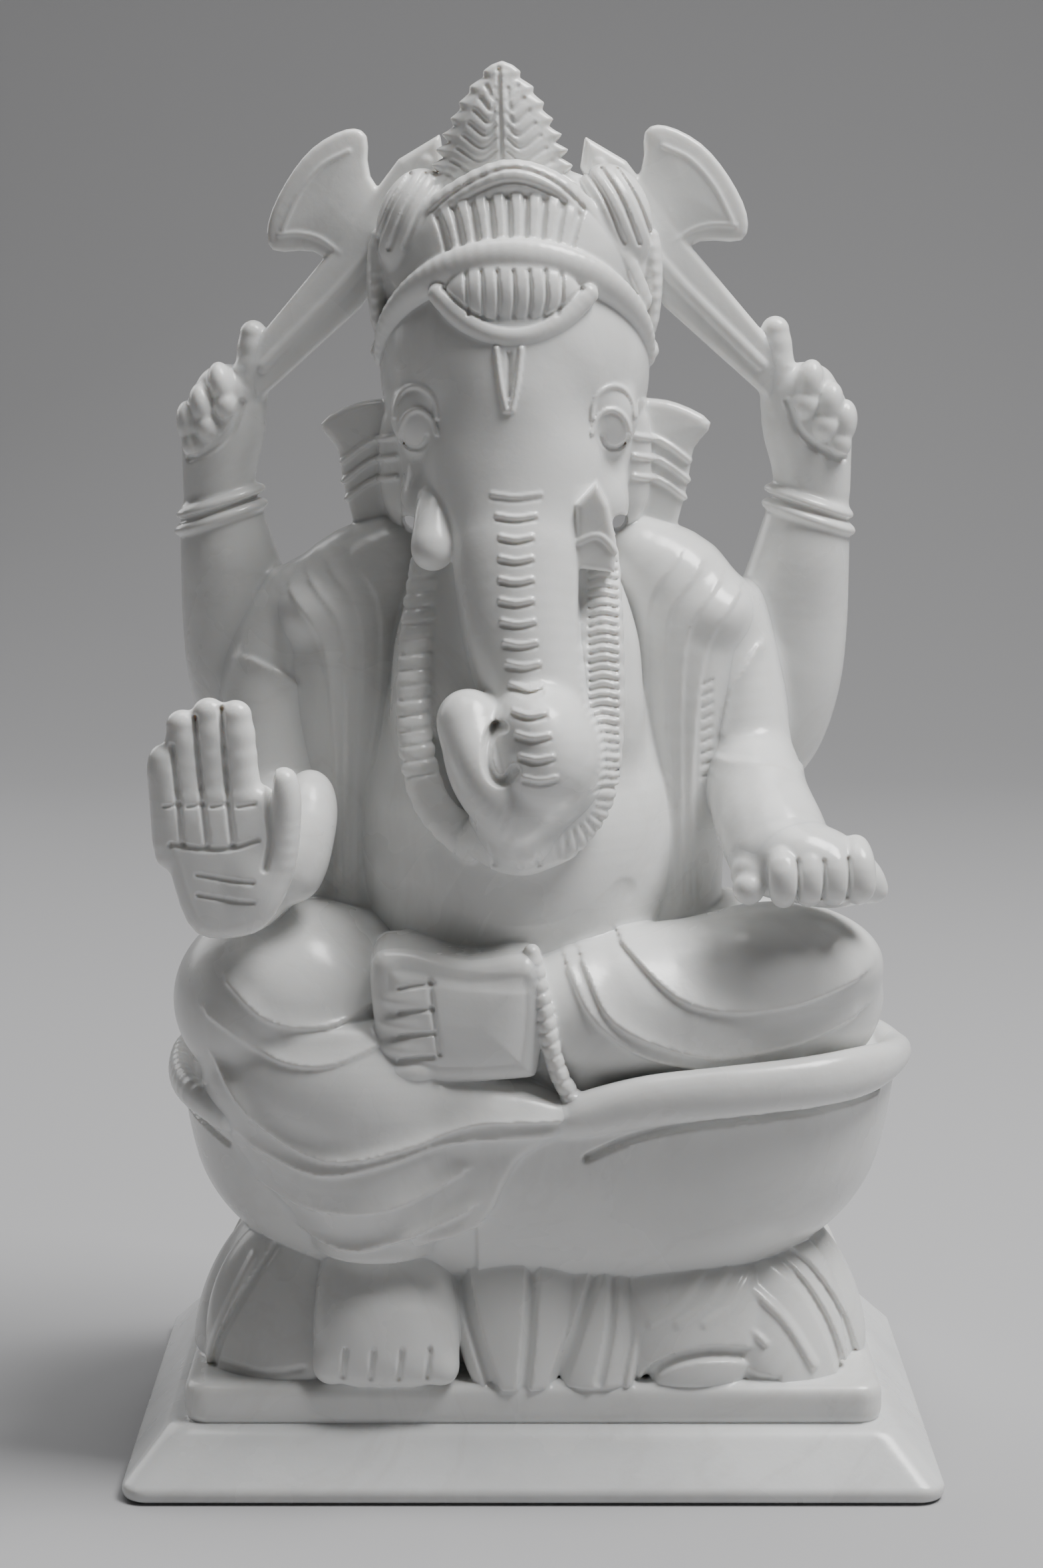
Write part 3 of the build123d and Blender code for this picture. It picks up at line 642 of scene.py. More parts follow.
right = lobe("seat_petal_right").trim((1, 0, 0), (1, 0, 0), 0.3).trim(BACKWARD, (0, 1, 0), 0.3)
right.trim((0, 0, 1), (0, 0, 1.13), 1.5)
right.limb([(-0.6, -0.73, 0.9, 0.07, 0.16), (-0.84, -0.46, 1.08, 0.07, 0.17),
            (-0.96, -0.05, 1.13, 0.07, 0.18), (-1, 0.5, 1.13, 0.07, 0.18),
            (-0.97, 0.95, 1.1, 0.07, 0.17)], k=1.5)
right.line([(-0.6, 0.55), (-0.85, 0.75), (-1.02, 0.8)], 0.7, RIB)

left = lobe("seat_petal_left").trim((-1, 0, 0), (-1, 0, 0), 0.3).trim(BACKWARD, (0, 1, 0), 0.3)
left.trim((-0.1, 0, 1), (-0.7, 0, 0.9), 1.5)
left.limb([(-0.6, -0.95, 0.92, 0.09, 0.14), (-0.45, -0.97, 1.02, 0.09, 0.2),
           (-0.2, -0.99, 1.15, 0.1, 0.23), (0.15, -0.99, 1.24, 0.1, 0.24),
           (0.53, -0.87, 1.3, 0.1, 0.24), (0.79, -0.6, 1.32, 0.09, 0.22),
           (0.94, -0.2, 1.3, 0.08, 0.15), (0.98, 0.27, 1.22, 0.07, 0.14),
           (0.94, 0.75, 1.15, 0.07, 0.13), (0.86, 1, 1.1, 0.07, 0.13)], across=(0, 1, 0), steps=10, k=2.0)
left.line([(-0.5, 0.5), (-0.3, 0.72), (0, 0.88), (0.35, 0.96), (0.85, 1)], 1.2, 1.1, front=0.5)

# ------ legs and cloth
shin = Form("right_shin", "right_leg", blend=1.2)
shin.stack([(-0.16, 0.04, 1.13, 0.75, 0.96), (-0.05, -0.1, 0.74, 0.86, 1.0),
            (0.02, -0.15, 0.39, 0.93, 1.0), (0.09, -0.18, -0.04, 0.86, 0.92),
            (0.1, -0.25, -0.48, 0.66, 0.83), (0.13, -0.37, -0.87, 0.44, 0.59),
            (0.14, -0.44, -1.17, 0.37, 0.48)], edge=3)
# the hems run on to the pleat under the folded foot
shin.limb([(0.5, -0.6, 0.28, 0.3, 0.3), (0.85, -0.72, 0.3, 0.24, 0.22),
           (1.2, -0.76, 0.25, 0.12, 0.16)], across=(0, 1, 0), k=4.0)
shin.ball((0.75, -0.18, 0.32), (0.55, 0.62, 0.4), k=3.0)
shin.plate([(1.3, 0.3), (0.98, -0.15), (0.76, -0.78), (0.3, -0.85), (0.3, 0.4), (0.9, 0.42)],
           -0.95, -0.3, edge=1.6, steps=3, k=4.0)
for hem, height in (([(-0.85, 0.85), (-0.6, 0.3), (-0.15, -0.08), (0.35, 0.05), (0.75, 0.25),
                      (1.25, 0.27)], 1.5),
                    ([(-0.6, -0.02), (-0.2, -0.23), (0.2, -0.12), (0.6, 0.06), (1.2, 0.12)], 1.2),
                    ([(-0.6, -0.42), (-0.2, -0.6), (0.25, -0.55), (0.65, -0.25)], 1.1),
                    ([(-0.45, -0.8), (-0.05, -1), (0.3, -0.88), (0.7, -0.6)], 1.4)):
    shin.fold(hem, height, 5.0, front=0.5)

thigh = Form("right_thigh", "right_leg", blend=1.6)
thigh.limb([(1.1, 0.64, -0.17, 0.55, 0.63), (0.76, 0.5, -0.17, 0.76, 0.78),
            (0.35, 0.21, -0.08, 0.86, 0.92), (-0.03, -0.15, -0.03, 0.91, 1.0),
            (-0.24, -0.47, 0.02, 0.81, 0.97), (-0.3, -0.63, 0.02, 0.62, 0.78)])
thigh.ball((-0.27, -0.49, 0.07), (0.84, 0.53, 1.02), -20, k=5.0)
for drop in (0, 0.36):
    thigh.fold([(-0.65 - 0.4 * drop, 0.45 - drop), (-0.35, 0.1 - drop), (0, 0.02 - drop),
                (0.3, 0.12 - drop), (0.55 + 0.3 * drop, 0.33 - drop)], 0.9, 4.0, front=-0.3, on=(shin,))

SOLE = (0, -1, 0.22)
foot = Form("right_foot", "right_foot", blend=0.8, voxel=0.4)
foot.limb([(-0.13, 1.1, 0.4, 0.75, 0.8), (-0.05, 0.5, 0.3, 0.88, 0.85), (0, 0, -0.1, 0.95, 0.75),
           (0, -0.3, -0.55, 0.95, 0.5), (0, -0.4, -0.7, 0.9, 0.36)])
for toe in range(5):
    x = -0.74 + 0.37 * toe
    foot.ball((x, -0.42 - 0.06 * toe / 4, -0.8), (0.22, 0.24, 0.24), k=2.2)
for gap in range(4):
    x = -0.56 + 0.37 * gap
    foot.line([(x + 0.04, -0.42), (x + 0.02, -0.6), (x, -0.86)], 0.9, 0.75, front=0.1)
foot.trim(SOLE, (0, -0.96, -0.8), 1.2)
foot.trim(DOWN, (0, 0, -1.07))

thigh = Form("left_thigh", "left_leg", blend=1.6)
thigh.limb([(-1.05, 0.52, -0.08, 0.5, 0.7), (-0.74, 0.37, -0.08, 0.68, 0.86),
            (-0.3, 0.12, 0.02, 0.78, 1.0), (0.08, -0.16, 0.1, 0.81, 1.0), (0.4, -0.41, 0.03, 0.66, 0.92)])
thigh.ball((-0.2, -0.2, 0.75), (0.55, 0.6, 0.45), k=5.0)

shin = Form("left_shin", "left_leg", blend=1.6)
shin.limb([(-0.95, -0.17, 0, 0.75, 0.72), (-0.69, -0.06, 0, 0.94, 0.92), (-0.24, 0.1, 0, 1.07, 1.03),
           (0.2, 0.26, 0.03, 1.07, 1.03), (0.5, 0.42, 0.05, 0.94, 0.97)], across=(0, 1, 0))
shin.ball((0.4, 0.55, 0.08), (0.6, 1.18, 1.03), 20, k=5.0)
shin.ball((0.4, -0.05, 0.6), (0.57, 0.85, 0.68), k=6.0)
shin.ball((-0.75, 0, -0.75), (0.36, 0.8, 0.5), k=3.0)
for fold in ([(-0.5, 0.95), (-0.2, 0.38), (0.1, 0.2), (0.45, 0.28), (0.8, 0.55)],
             [(-0.72, 0.75), (-0.55, 0.1), (-0.2, -0.27), (0.1, -0.37), (0.5, -0.22), (0.8, 0.05)],
             [(-0.8, 0.68), (-0.65, 0.1), (-0.35, -0.36), (0.1, -0.55), (0.5, -0.45)]):
    shin.fold(fold, 1.2, 6.0, front=1.2, on=(thigh,))

foot = Form("left_foot", "left_foot", blend=0.9, voxel=0.4)
foot.plate([(-0.75, -0.85), (0.4, -0.88), (0.62, -0.6), (0.62, 0.85), (0, 0.85), (-0.6, 1.02),
            (-0.88, 0.85), (-0.85, -0.2)], -0.96, 1.28, edge=4, steps=4, bulge=2.0)
for toe in range(4):
    z = 0.5 - 0.35 * toe
    foot.line([(-0.62, z), (-0.5, z + 0.04), (-0.33, z + 0.06)], 1.0, 0.75, front=0.3)
    foot.ball((-0.55, -0.72, z - 0.17), (0.28, 0.4, 0.19), k=0.8)
foot.line([(-0.36, 0.62), (-0.33, 0.2), (-0.3, -0.1), (-0.27, -0.45)], 0.8, 0.7, front=0)
foot.line([(-0.6, 0.8), (-0.1, 0.62), (0.5, 0.55)], 0.35, 2.0, front=-0.2)

pleat = Form("dhoti_pleat", "left_leg", blend=0.7)
PLEAT = [(-0.5, 0.35, 0.95, 0.2, 0.5), (-0.27, 0, 0.42, 0.2, 0.5), (-0.12, -0.1, 0, 0.2, 0.5),
         (0.15, 0, -0.5, 0.2, 0.5), (0.6, 0.2, -0.88, 0.2, 0.5), (0.95, 0.35, -1.05, 0.18, 0.45)]
pleat.limb(PLEAT)
for stroke in range(12):
    z = 0.8 - 0.15 * stroke
    x = np.interp(-z, [-p[2] for p in PLEAT], [p[0] for p in PLEAT])
    pleat.line([(x - 0.18, z - 0.02), (x + 0.18, z + 0.03)], 0.4, 0.5, front=1.2)
# ------ torso
belly = Form("belly", "torso", blend=2.0)
belly.stack([(0, 0.12, -1, 0.71, 0.7), (0, 0.07, -0.63, 0.64, 0.7), (0, -0.02, -0.37, 0.65, 0.78),
             (0, -0.06, -0.16, 0.73, 0.88), (0, -0.08, 0.1, 0.82, 0.925), (0, -0.08, 0.42, 0.845, 0.93),
             (0, -0.05, 0.71, 0.82, 0.87), (0, 0.04, 1, 0.75, 0.765), (0, 0.12, 1.3, 0.7, 0.66)], edge=6)
belly.line(arc((0, 0.35), (0.6, 0.42), 205, 335), 0.5, 3.2, front=-0.5)

chest = Form("chest", "torso", blend=5.0)
chest.stack([(0, 0, -1.17, 1, 1), (0, 0.09, -0.65, 0.97, 0.91), (0, 0.12, -0.13, 0.94, 0.84),
             (0, 0.14, 0.39, 0.84, 0.73), (0, 0.14, 0.74, 0.67, 0.6), (0, 0.14, 1.17, 0.5, 0.5)], edge=4)
for side in (-1, 1):
    chest.ball((0.41 * side, -0.5, -0.22), (0.41, 0.39, 0.56), k=5.0)
# the block left standing behind the trunk
chest.limb([(0, -0.3, 0.9, 0.44, 0.36), (0, -0.46, 0.3, 0.68, 0.44), (0, -0.58, -0.4, 0.78, 0.5),
            (0, -0.68, -1, 0.82, 0.52)], k=5.0)


def drape(node, side):
    """Shawl from the shoulder to the lap."""
    form = Form(node, "torso", blend=0.8)
    form.limb(mirrored([(-0.77, 0.32, 0.83, 0.6, 0.58), (-0.09, 0.27, 0.58, 0.9, 0.7),
                        (-0.02, 0.12, 0.15, 0.81, 0.68), (-0.1, 0.02, -0.3, 0.72, 0.65),
                        (-0.15, -0.03, -0.68, 0.69, 0.63), (-0.15, -0.09, -1.13, 0.66, 0.58)], side), k=2.0)
    form.ball((0.35 * side, 0, 0.52), (0.6, 0.53, 0.2), 0, 0, -22 * side, k=2.5)
    return form


drapes = []
for node, side in (("shawl_right", -1), ("shawl_left", 1)):
    cloth = drape(node, side)
    drapes.append(cloth)
    # four layers, each lying over the one outside it
    for layer in range(4):
        shift = 0.3 * layer
        edge = mirrored([(0.75 - shift, 0.66 + 0.06 * layer), (0.3 - shift, 0.42 + 0.06 * layer),
                         (0.12 - 0.8 * shift, 0.1), (0.05 - 0.55 * shift, -0.35),
                         (0.05 - 0.45 * shift, -0.95)], side)
        cloth.fold(edge if side < 0 else edge[::-1], 0.6 - 0.08 * layer, 4.0, front=0.2)
    if side > 0:
        for stitch in range(9):
            z = 0.2 - 0.06 * stitch
            cloth.line([(0.2, z - 0.01), (0.34, z + 0.01)], 0.5, 0.45, front=0.2)

strand = Form("garland_right", "torso", blend=1.2)
strand.limb([(-0.32, 0.8, 0.95, 0.38, 0.18), (-0.52, 0.3, 0.44, 0.38, 0.18),
             (-0.57, -0.13, -0.14, 0.38, 0.18), (-0.21, -0.48, -0.62, 0.38, 0.18),
             (0.7, -0.64, -0.91, 0.38, 0.18)])
for stroke in range(14):
    z = 0.85 - 0.1 * stroke
    strand.line([(-0.85, z), (-0.15, z + 0.03)], 0.4, 0.6, front=1)

strand = Form("garland_left", "torso", blend=0.9)
strand.limb([(0.36, 0.8, 0.95, 0.52, 0.24), (0.44, 0.17, 0.45, 0.52, 0.24), (0.45, -0.21, -0.11, 0.52, 0.24),
             (0.22, -0.54, -0.58, 0.52, 0.24), (-0.48, -0.74, -0.85, 0.5, 0.22),
             (-1.07, -0.78, -0.93, 0.46, 0.2)])
for stroke in range(26):
    z = 0.92 - 0.058 * stroke
    strand.line([(0.12, z - 0.01), (0.44, z + 0.01), (0.78, z - 0.01)], 0.8, 0.6, front=1)
for turn in range(7):
    a = math.radians(8 + 13 * turn)
    strand.line([(-0.6 + 0.9 * math.cos(a), -0.57 - 0.22 * math.sin(a)),
                 (-0.6 + 1.5 * math.cos(a), -0.57 - 0.4 * math.sin(a))], 0.45, 0.55, front=0)

knot = Form("garland_pendant", "torso", blend=0.7)
knot.limb([(-1.1, -0.3, 0.5, 0.5, 0.7), (-0.4, -0.6, 0.1, 0.65, 0.8), (0.25, -0.7, 0.05, 0.7, 0.85),
           (0.9, -0.5, 0.25, 0.6, 0.75)], across=(0, 0, 1))
for x in (-0.7, -0.05, 0.4, 0.9):
    knot.line([(x, 0.85), (x + 0.15, -0.25)], 0.9, 0.75, front=1)

# ------ front arms
arm = Form("right_upper_arm", "right_arm", blend=3.0)
arm.limb([(0.86, 0.28, 0.89, 0.97, 0.69), (0.31, 0.22, 0.35, 1.14, 0.75), (0.21, 0, -0.25, 1.14, 0.75),
          (0.31, -0.36, -0.76, 1.1, 0.69)])
arm.fold([(1.1, -0.8), (1.1, -0.1), (0.8, 0.25), (0.3, 0.4), (-0.3, 0.5)], 0.8, 4.0, front=0.2)

arm = Form("right_forearm", "right_arm", blend=2.5)
arm.limb([(0.26, 0.88, 0.41, 0.87, 0.79), (0.18, 0.17, 0.13, 0.87, 0.79), (-0.06, -0.44, -0.16, 0.79, 0.71),
          (-0.29, -0.85, -0.44, 0.71, 0.5)])
arm.limb([(0.9, -0.14, 1.0, 0.36, 0.32), (0.82, -0.44, 0.6, 0.42, 0.36), (0.65, -0.65, -0.1, 0.45, 0.32)],
         k=3.0)

palm = Form("right_palm", "right_palm", blend=1.0, voxel=0.35)
palm.plate([(-0.45, -0.97), (0.35, -0.97), (0.72, -0.7), (0.9, -0.3), (0.7, 0.15), (0.3, 0.3), (-0.5, 0.3),
            (-0.95, 0.15), (-0.8, -0.45)], -0.9, 0.9, edge=3.5, steps=4, bulge=0.8)
# little finger to forefinger: foot and tip across the palm, then the height of the tip
FINGERS = (-0.78, -0.84, 0.5), (-0.43, -0.6, 0.78), (-0.09, -0.24, 0.88), (0.26, 0.12, 0.86)
for foot_x, tip_x, tip_z in FINGERS:
    palm.limb([(foot_x, 0.1, -0.3, 0.24, 0.72), (0.5 * (foot_x + tip_x), -0.05, 0.2, 0.24, 0.72),
               (tip_x, -0.15, tip_z, 0.225, 0.64)], steps=4, k=1.6)
palm.limb([(0.4, 0.3, -0.7, 0.3, 1.0), (0.68, -0.1, -0.33, 0.25, 0.9), (0.8, -0.4, 0.07, 0.2, 0.75),
           (0.78, -0.45, 0.32, 0.19, 0.65)], k=1.0)
palm.ball((0.32, -0.35, -0.55), (0.36, 0.8, 0.3), k=2.5)
palm.line([(-0.75, -0.2), (-0.3, -0.23), (0.1, -0.22), (0.42, -0.16)], 1.1, 0.8, front=0.2)
for z in (-0.45, -0.62):
    palm.line([(-0.4, z), (0, z - 0.04), (0.35, z - 0.06)], 0.7, 0.7, front=0.2)
for foot_x, tip_x, top in ((-0.6, -0.73, 0.62), (-0.26, -0.42, 0.85), (0.09, -0.06, 0.92)):
    palm.line([(foot_x, -0.2), (0.5 * (foot_x + tip_x), 0.25), (tip_x, top)], 1.0, 0.8, front=0.2)
for x in (-0.72, -0.4, -0.08, 0.28):
    palm.line([(x - 0.12, 0.12), (x + 0.1, 0.14)], 0.6, 0.6, front=0.2)
palm.line([(0.62, 0.4), (0.56, 0.1), (0.6, -0.15), (0.52, -0.4)], 1.1, 0.9, front=0.2)

arm = Form("left_upper_arm", "left_arm", blend=2.5)
arm.limb([(-0.88, 0.3, 0.76, 0.98, 0.69), (-0.65, 0.2, 0.27, 1.0, 0.75), (-0.4, -0.1, -0.3, 1.02, 0.69),
          (-0.25, -0.44, -0.7, 0.98, 0.63)])
arm.fold([(-0.1, 0.55), (-0.45, 0.35), (-0.75, 0.15), (-0.95, -0.2)], 0.8, 3.5, front=0.2)

arm = Form("left_forearm", "left_arm", blend=2.2)
arm.limb([(-0.25, 0.74, 0.39, 0.83, 0.72), (-0.2, 0.17, 0.12, 0.85, 0.75), (-0.05, -0.41, -0.23, 0.9, 0.72),
          (0.1, -0.81, -0.47, 0.85, 0.62)])
arm.fold([(0.6, 0.6), (0, 0.75), (-0.5, 0.78), (-0.95, 0.75)], 0.5, 3.0, front=0.6)

palm = Form("left_palm", "left_palm", blend=1.2, voxel=0.35)
palm.limb([(-0.45, 0.4, 0.25, 0.75, 0.72), (-0.06, 0.12, 0.18, 0.86, 0.76), (0.3, 0.17, 0, 0.8, 0.7),
           (0.66, 0.17, -0.2, 0.4, 0.42), (0.85, 0.17, -0.42, 0.18, 0.2)], across=(0, 1, 0))
for finger in range(4):
    x = -0.3 + 0.3 * finger
    reach = -0.75 + 0.1 * finger
    palm.limb([(x - 0.03, 0, 0.45, 0.17, 0.27), (x, reach + 0.1, 0.2, 0.17, 0.27),
               (x + 0.01, reach, -0.15, 0.165, 0.25), (x, reach + 0.15, -0.35, 0.14, 0.22)], steps=3, k=0.9)
for gap in range(3):
    x = -0.14 + 0.3 * gap
    palm.line([(x, 0.35), (x + 0.01, 0), (x, -0.4)], 0.7, 0.65, front=-0.1)
palm.ball((-0.69, -0.35, -0.25), (0.19, 0.32, 0.32))          # the sweet
palm.ball((-0.62, -0.05, 0), (0.27, 0.45, 0.45))

# ------ rear arms, hands and axes
for side_name, side in (("left", 1), ("right", -1)):
    piece = side_name + "_rear_arm"
    arm = Form(side_name + "_rear_arm", piece, blend=3.5)
    arm.limb(mirrored([(0.19, 0.05, -0.9, 0.28, 0.58), (0.27, 0.05, -0.6, 0.49, 0.83),
                       (0.32, 0, -0.19, 0.62, 0.95), (0.36, 0, 0.28, 0.64, 0.96),
                       (0.45, -0.1, 0.68, 0.55, 0.86), (0.53, -0.1, 1.01, 0.47, 0.74)], side))
    arm.limb(mirrored([(-0.92, 0, 0.21, 0.83, 0.37), (-0.3, 0.05, 0.04, 0.91, 0.37),
                       (0.22, 0.05, -0.13, 0.91, 0.37)], side), across=(0, 1, 0), k=3.0)

    # two turns of a bangle, tilted down towards the outside
    ring = Form(side_name + "_bracelet", piece, blend=0.6, voxel=0.4)
    for z, size in ((0.41, 0.98), (-0.03, 1.03)):
        ring.ball((0, 0, z), (size, size, 0.38), 0, 0, 18 * side)
    ring.line(mirrored([(-1, 0.68), (0, 0.26), (1, -0.2)], side), 0.8, 0.7)

    hand = Form(side_name + "_rear_hand", piece, blend=1.0, voxel=0.35)
    hand.limb(mirrored([(0.17, 0.25, -1.1, 0.69, 0.76), (0.13, 0.14, -0.65, 0.74, 0.76),
                        (0.02, 0.03, -0.2, 0.83, 0.71), (-0.12, -0.08, 0.19, 0.66, 0.6)], side))
    hand.limb(mirrored([(-0.48, 0, -0.15, 0.34, 0.46), (-0.57, -0.13, 0.34, 0.32, 0.43),
                        (-0.62, -0.18, 0.82, 0.27, 0.36)], side), steps=3, k=1.2)
    for x, y, z in ((0.02, -0.45, 0.24), (0.4, -0.45, 0.0), (0.68, -0.3, -0.2)):
        hand.ball((side * x, y, z), (0.28, 0.5, 0.27), 0, 12, 10 * side, k=0.7)
        hand.ball((side * (x - 0.08), y - 0.17, z - 0.22), (0.25, 0.34, 0.17), 0, 12, 10 * side, k=0.6)
    hand.line(mirrored([(-0.4, 0.05), (-0.15, -0.28), (0.25, -0.48), (0.7, -0.58)], side), 0.8, 1.1, front=0)

    piece = side_name + "_axe"
    haft = Form(side_name + "_axe_haft", piece, blend=0.8, voxel=0.4)
    haft.plate(mirrored([(1.35, -0.92), (1.1, -1.2), (-0.06, -0.42), (-0.56, 0.11), (-0.98, 0.72),
                         (-0.93, 0.97), (-0.48, 0.77), (0.2, 0.1)], side), -1, 1, edge=2.0, bulge=0.6)
    haft.line(mirrored([(1.0, -0.9), (0.03, -0.17), (-0.36, 0.23), (-0.78, 0.75)], side), -0.6, 1.6, front=0)
    blade = Form(side_name + "_axe_blade", piece, blend=0.7, voxel=0.4)
    # socket, upper horn, round cutting edge, lower horn
    blade.plate(mirrored([(-1.05, -0.7), (-0.55, 0.25), (-0.5, 0.9), (-0.2, 1), (0.3, 0.7), (0.7, 0.15),
                          (0.97, -0.5), (0.9, -0.95), (0.3, -0.97), (-0.3, -1.3)], side),
                -1.1, 1.0, edge=1.6, steps=3, bulge=0.8)
    for rim in ([(-0.25, 0.65), (0.15, 0.42), (0.5, -0.05), (0.75, -0.62)],
                [(-0.1, -1), (0.2, -0.76), (0.5, -0.68), (0.8, -0.7)]):
        blade.line(mirrored(rim, side), -0.35, 0.7, front=0)
# ------ head
face = Form("head", "head", blend=1.0, voxel=0.4)
face.ball((0, 0, 0.07), (1, 1, 0.93))
face.ball((0, -0.1, -0.56), (0.81, 0.76, 0.48), k=8.0)
face.stack([(0, 0.14, -1.17, 0.5, 0.45), (0, 0.1, -0.89, 0.57, 0.52), (0, 0.07, -0.66, 0.64, 0.59)], k=5.0)
face.limb([(0, -0.59, -0.1, 0.34, 0.34), (0, -0.59, -0.44, 0.44, 0.34), (0, -0.66, -0.69, 0.47, 0.34)], k=8.0)
for side in (-1, 1):
    face.ball((0.59 * side, -0.41, -0.75), (0.25, 0.31, 0.25), k=4.0)                    # cheek
    face.ball((0.66 * side, -0.5, -0.23), (0.24, 0.21, 0.21), 0, 0, 16 * side, k=3.0)    # lid
    for rim, depth in ((arc((0.72, -0.2), (0.16, 0.17), 185, -5), -0.55),
                       (arc((0.7, -0.34), (0.14, 0.17), 170, -10), -0.6),
                       (arc((0.73, -0.32), (0.1, 0.09), 190, 350), 0.7)):
        face.line(mirrored(rim, side), depth, 0.7, front=-0.15)
    # mark on the forehead: an open V with a stroke inside it
    face.line([(0.09 * side - 0.04, 0.2), (0.06 * side - 0.04, 0), (0.02 * side - 0.04, -0.16)],
              -0.8, 0.8, front=-0.3)
face.line([(-0.04, 0.17), (-0.04, 0.03), (-0.03, -0.08)], 0.7, 0.8, front=-0.3)

nose = Form("trunk", "head", blend=5.0, voxel=0.4)
nose.limb([(0, 0.94, 0.97, 0.96, 0.5), (0, 0.66, 0.72, 0.89, 0.53), (0, 0.4, 0.51, 0.87, 0.56),
           (0.03, 0.21, 0.31, 0.83, 0.56), (0.1, -0.02, -0.02, 0.74, 0.55), (0.25, -0.21, -0.35, 0.64, 0.52),
           (0.31, -0.38, -0.61, 0.61, 0.49)])
# the end curls under and up to the figure's right, and flattens
nose.limb([(0.31, -0.38, -0.58, 0.61, 0.49), (0.44, -0.47, -0.71, 0.55, 0.47),
           (0.29, -0.52, -0.8, 0.48, 0.45),
           (0, -0.55, -0.82, 0.46, 0.43), (-0.3, -0.58, -0.77, 0.38, 0.36), (-0.48, -0.6, -0.66, 0.32, 0.3),
           (-0.58, -0.6, -0.54, 0.27, 0.22), (-0.64, -0.6, -0.44, 0.3, 0.13)], k=3.0)
nose.ball((-0.15, -0.36, -0.58), (0.5, 0.4, 0.2), k=3.0)
nose.hollow((-0.04, -0.98, -0.65), (0.17, 0.24, 0.07), 1.5)
nose.ball((-0.03, -0.78, -0.67), (0.1, 0.12, 0.04), k=0.8)
nose.line(arc((-0.17, -0.6), (0.2, 0.14), 85, 330), 1.5, 1.3, front=-0.4)
for stroke in range(14):
    z = 0.73 - 0.11 * stroke
    x = 0.02 + 0.32 * max(0.0, (0.2 - z) / 0.9) ** 1.3
    wide = 0.21 + 0.12 * max(0.0, (z - 0.55) / 0.18)
    for lift, depth in ((0, -0.5), (-0.028, 0.4)):
        nose.line([(x - wide, z + lift), (x, z - 0.013 + lift), (x + wide, z + lift)], depth, 0.65, front=1)

tusk = Form("right_tusk", "head", blend=0.8, voxel=0.35)
tusk.limb([(0.3, 0.93, 0.9, 0.8, 0.4), (0.1, 0.15, 0.37, 0.95, 0.42), (0, -0.4, -0.3, 1.02, 0.46),
           (0, -0.55, -0.55, 1.0, 0.42)])
tusk = Form("left_tusk", "head", blend=0.8, voxel=0.35)
tusk.plate([(-1, 0.5), (-1, -0.85), (0.9, -0.95), (1, -0.3), (0.6, 0.5), (0.05, 0.95)], -0.77, 1, edge=1.3)
tusk.line([(-1, -0.3), (0.1, -0.15), (1, -0.5)], -0.5, 0.9, front=-0.2)

for node, side in (("right_ear", -1), ("left_ear", 1)):
    ear = Form(node, "head", blend=0.9, voxel=0.4)
    ear.plate(mirrored([(-1.1, 1.02), (-0.2, 1), (0.4, 0.93), (1, 0.68), (0.7, 0.35), (0.6, -0.05),
                        (0.47, -0.45), (0.15, -1.1), (-0.55, -0.9), (-0.6, -0.45), (-1.1, -0.2)], side),
              -1, 1, edge=2.0, steps=3, bulge=0.4)
    ear.limb(mirrored([(-0.6, -2.1, 0.72, 0.42, 1.4), (-0.6, -1.8, 0, 0.38, 1.4),
                       (-0.6, -1.3, -0.45, 0.25, 1.4)], side), k=3.0)
    for ridge in range(3):
        z = 0.55 - 0.26 * ridge
        curve = mirrored([(-0.42, z), (0.08, z - 0.09), (0.62, z - 0.36)], side)
        ear.line(curve, -0.75, 0.8, front=0)
    # a hole is drilled through the lobe and the block behind it
    ear.hollow((-0.72 * side, 0, -0.55), (0.2, 9, 0.17), 0.5, on=[face, chest] + drapes)

# ------ crown
cap = Form("crown_cap", "crown", blend=0.9, voxel=0.4)
cap.ball((0, 0, -0.36), (1, 1, 1.36)).trim(DOWN, (0, 0, -1.19), 1.0)
for side in (-1, 1):
    cap.limb([(0.97 * side, -0.11, 0.01, 0.065, 0.22), (0.99 * side, -0.11, -0.6, 0.06, 0.26),
              (0.97 * side, -0.07, -1.2, 0.05, 0.26)], k=1.5)
for rib in range(7):
    x = -0.8 + 0.267 * rib
    cap.line([(0.5 * x, 1), (0.9 * x, 0.4), (x, -0.36), (0.98 * x, -1.1)], 0.8, 1.1, behind=0.3)
for z, depth, width in ((-0.75, 0.8, 1.0), (-0.98, -0.6, 1.6)):
    cap.line([(-0.92, z + 0.08), (0, z), (0.92, z + 0.08)], depth, width, behind=0.3)

band = Form("crown_band", "crown", blend=0.7, voxel=0.4)
brow, nape = [], []
for step in range(11):
    a = math.radians(18 * step)
    ca, sa = math.cos(a), math.sin(a)
    brow.append((0.92 * ca, 1.05 - 1.8 * sa, -1.5 + 2.1 * sa, 0.12 + 0.13 * sa, 0.18 + 0.2 * sa))
    nape.append((0.92 * ca, 1.15 + 2.4 * sa, -1.3 + 0.65 * sa, 0.22, 0.24))
band.limb(brow, across=(0, 1, 0)).limb(nape, across=(0, 0, 1))

fan = Form("crown_fan", "crown", blend=0.6, voxel=0.35)
fan.ball((0.04, 0.89, -1.15), (1.09, 2.1, 2.2))
for flute in range(9):
    x = -0.72 + 0.18 * flute
    lean = 0.03 * (flute - 4)
    fan.line([(x - lean, -2.5), (x, -0.75), (x + lean - 0.02, 0.62 - 0.025 * (flute - 4) ** 2)],
             1.1, 1.0, front=2.4, on=(cap,))

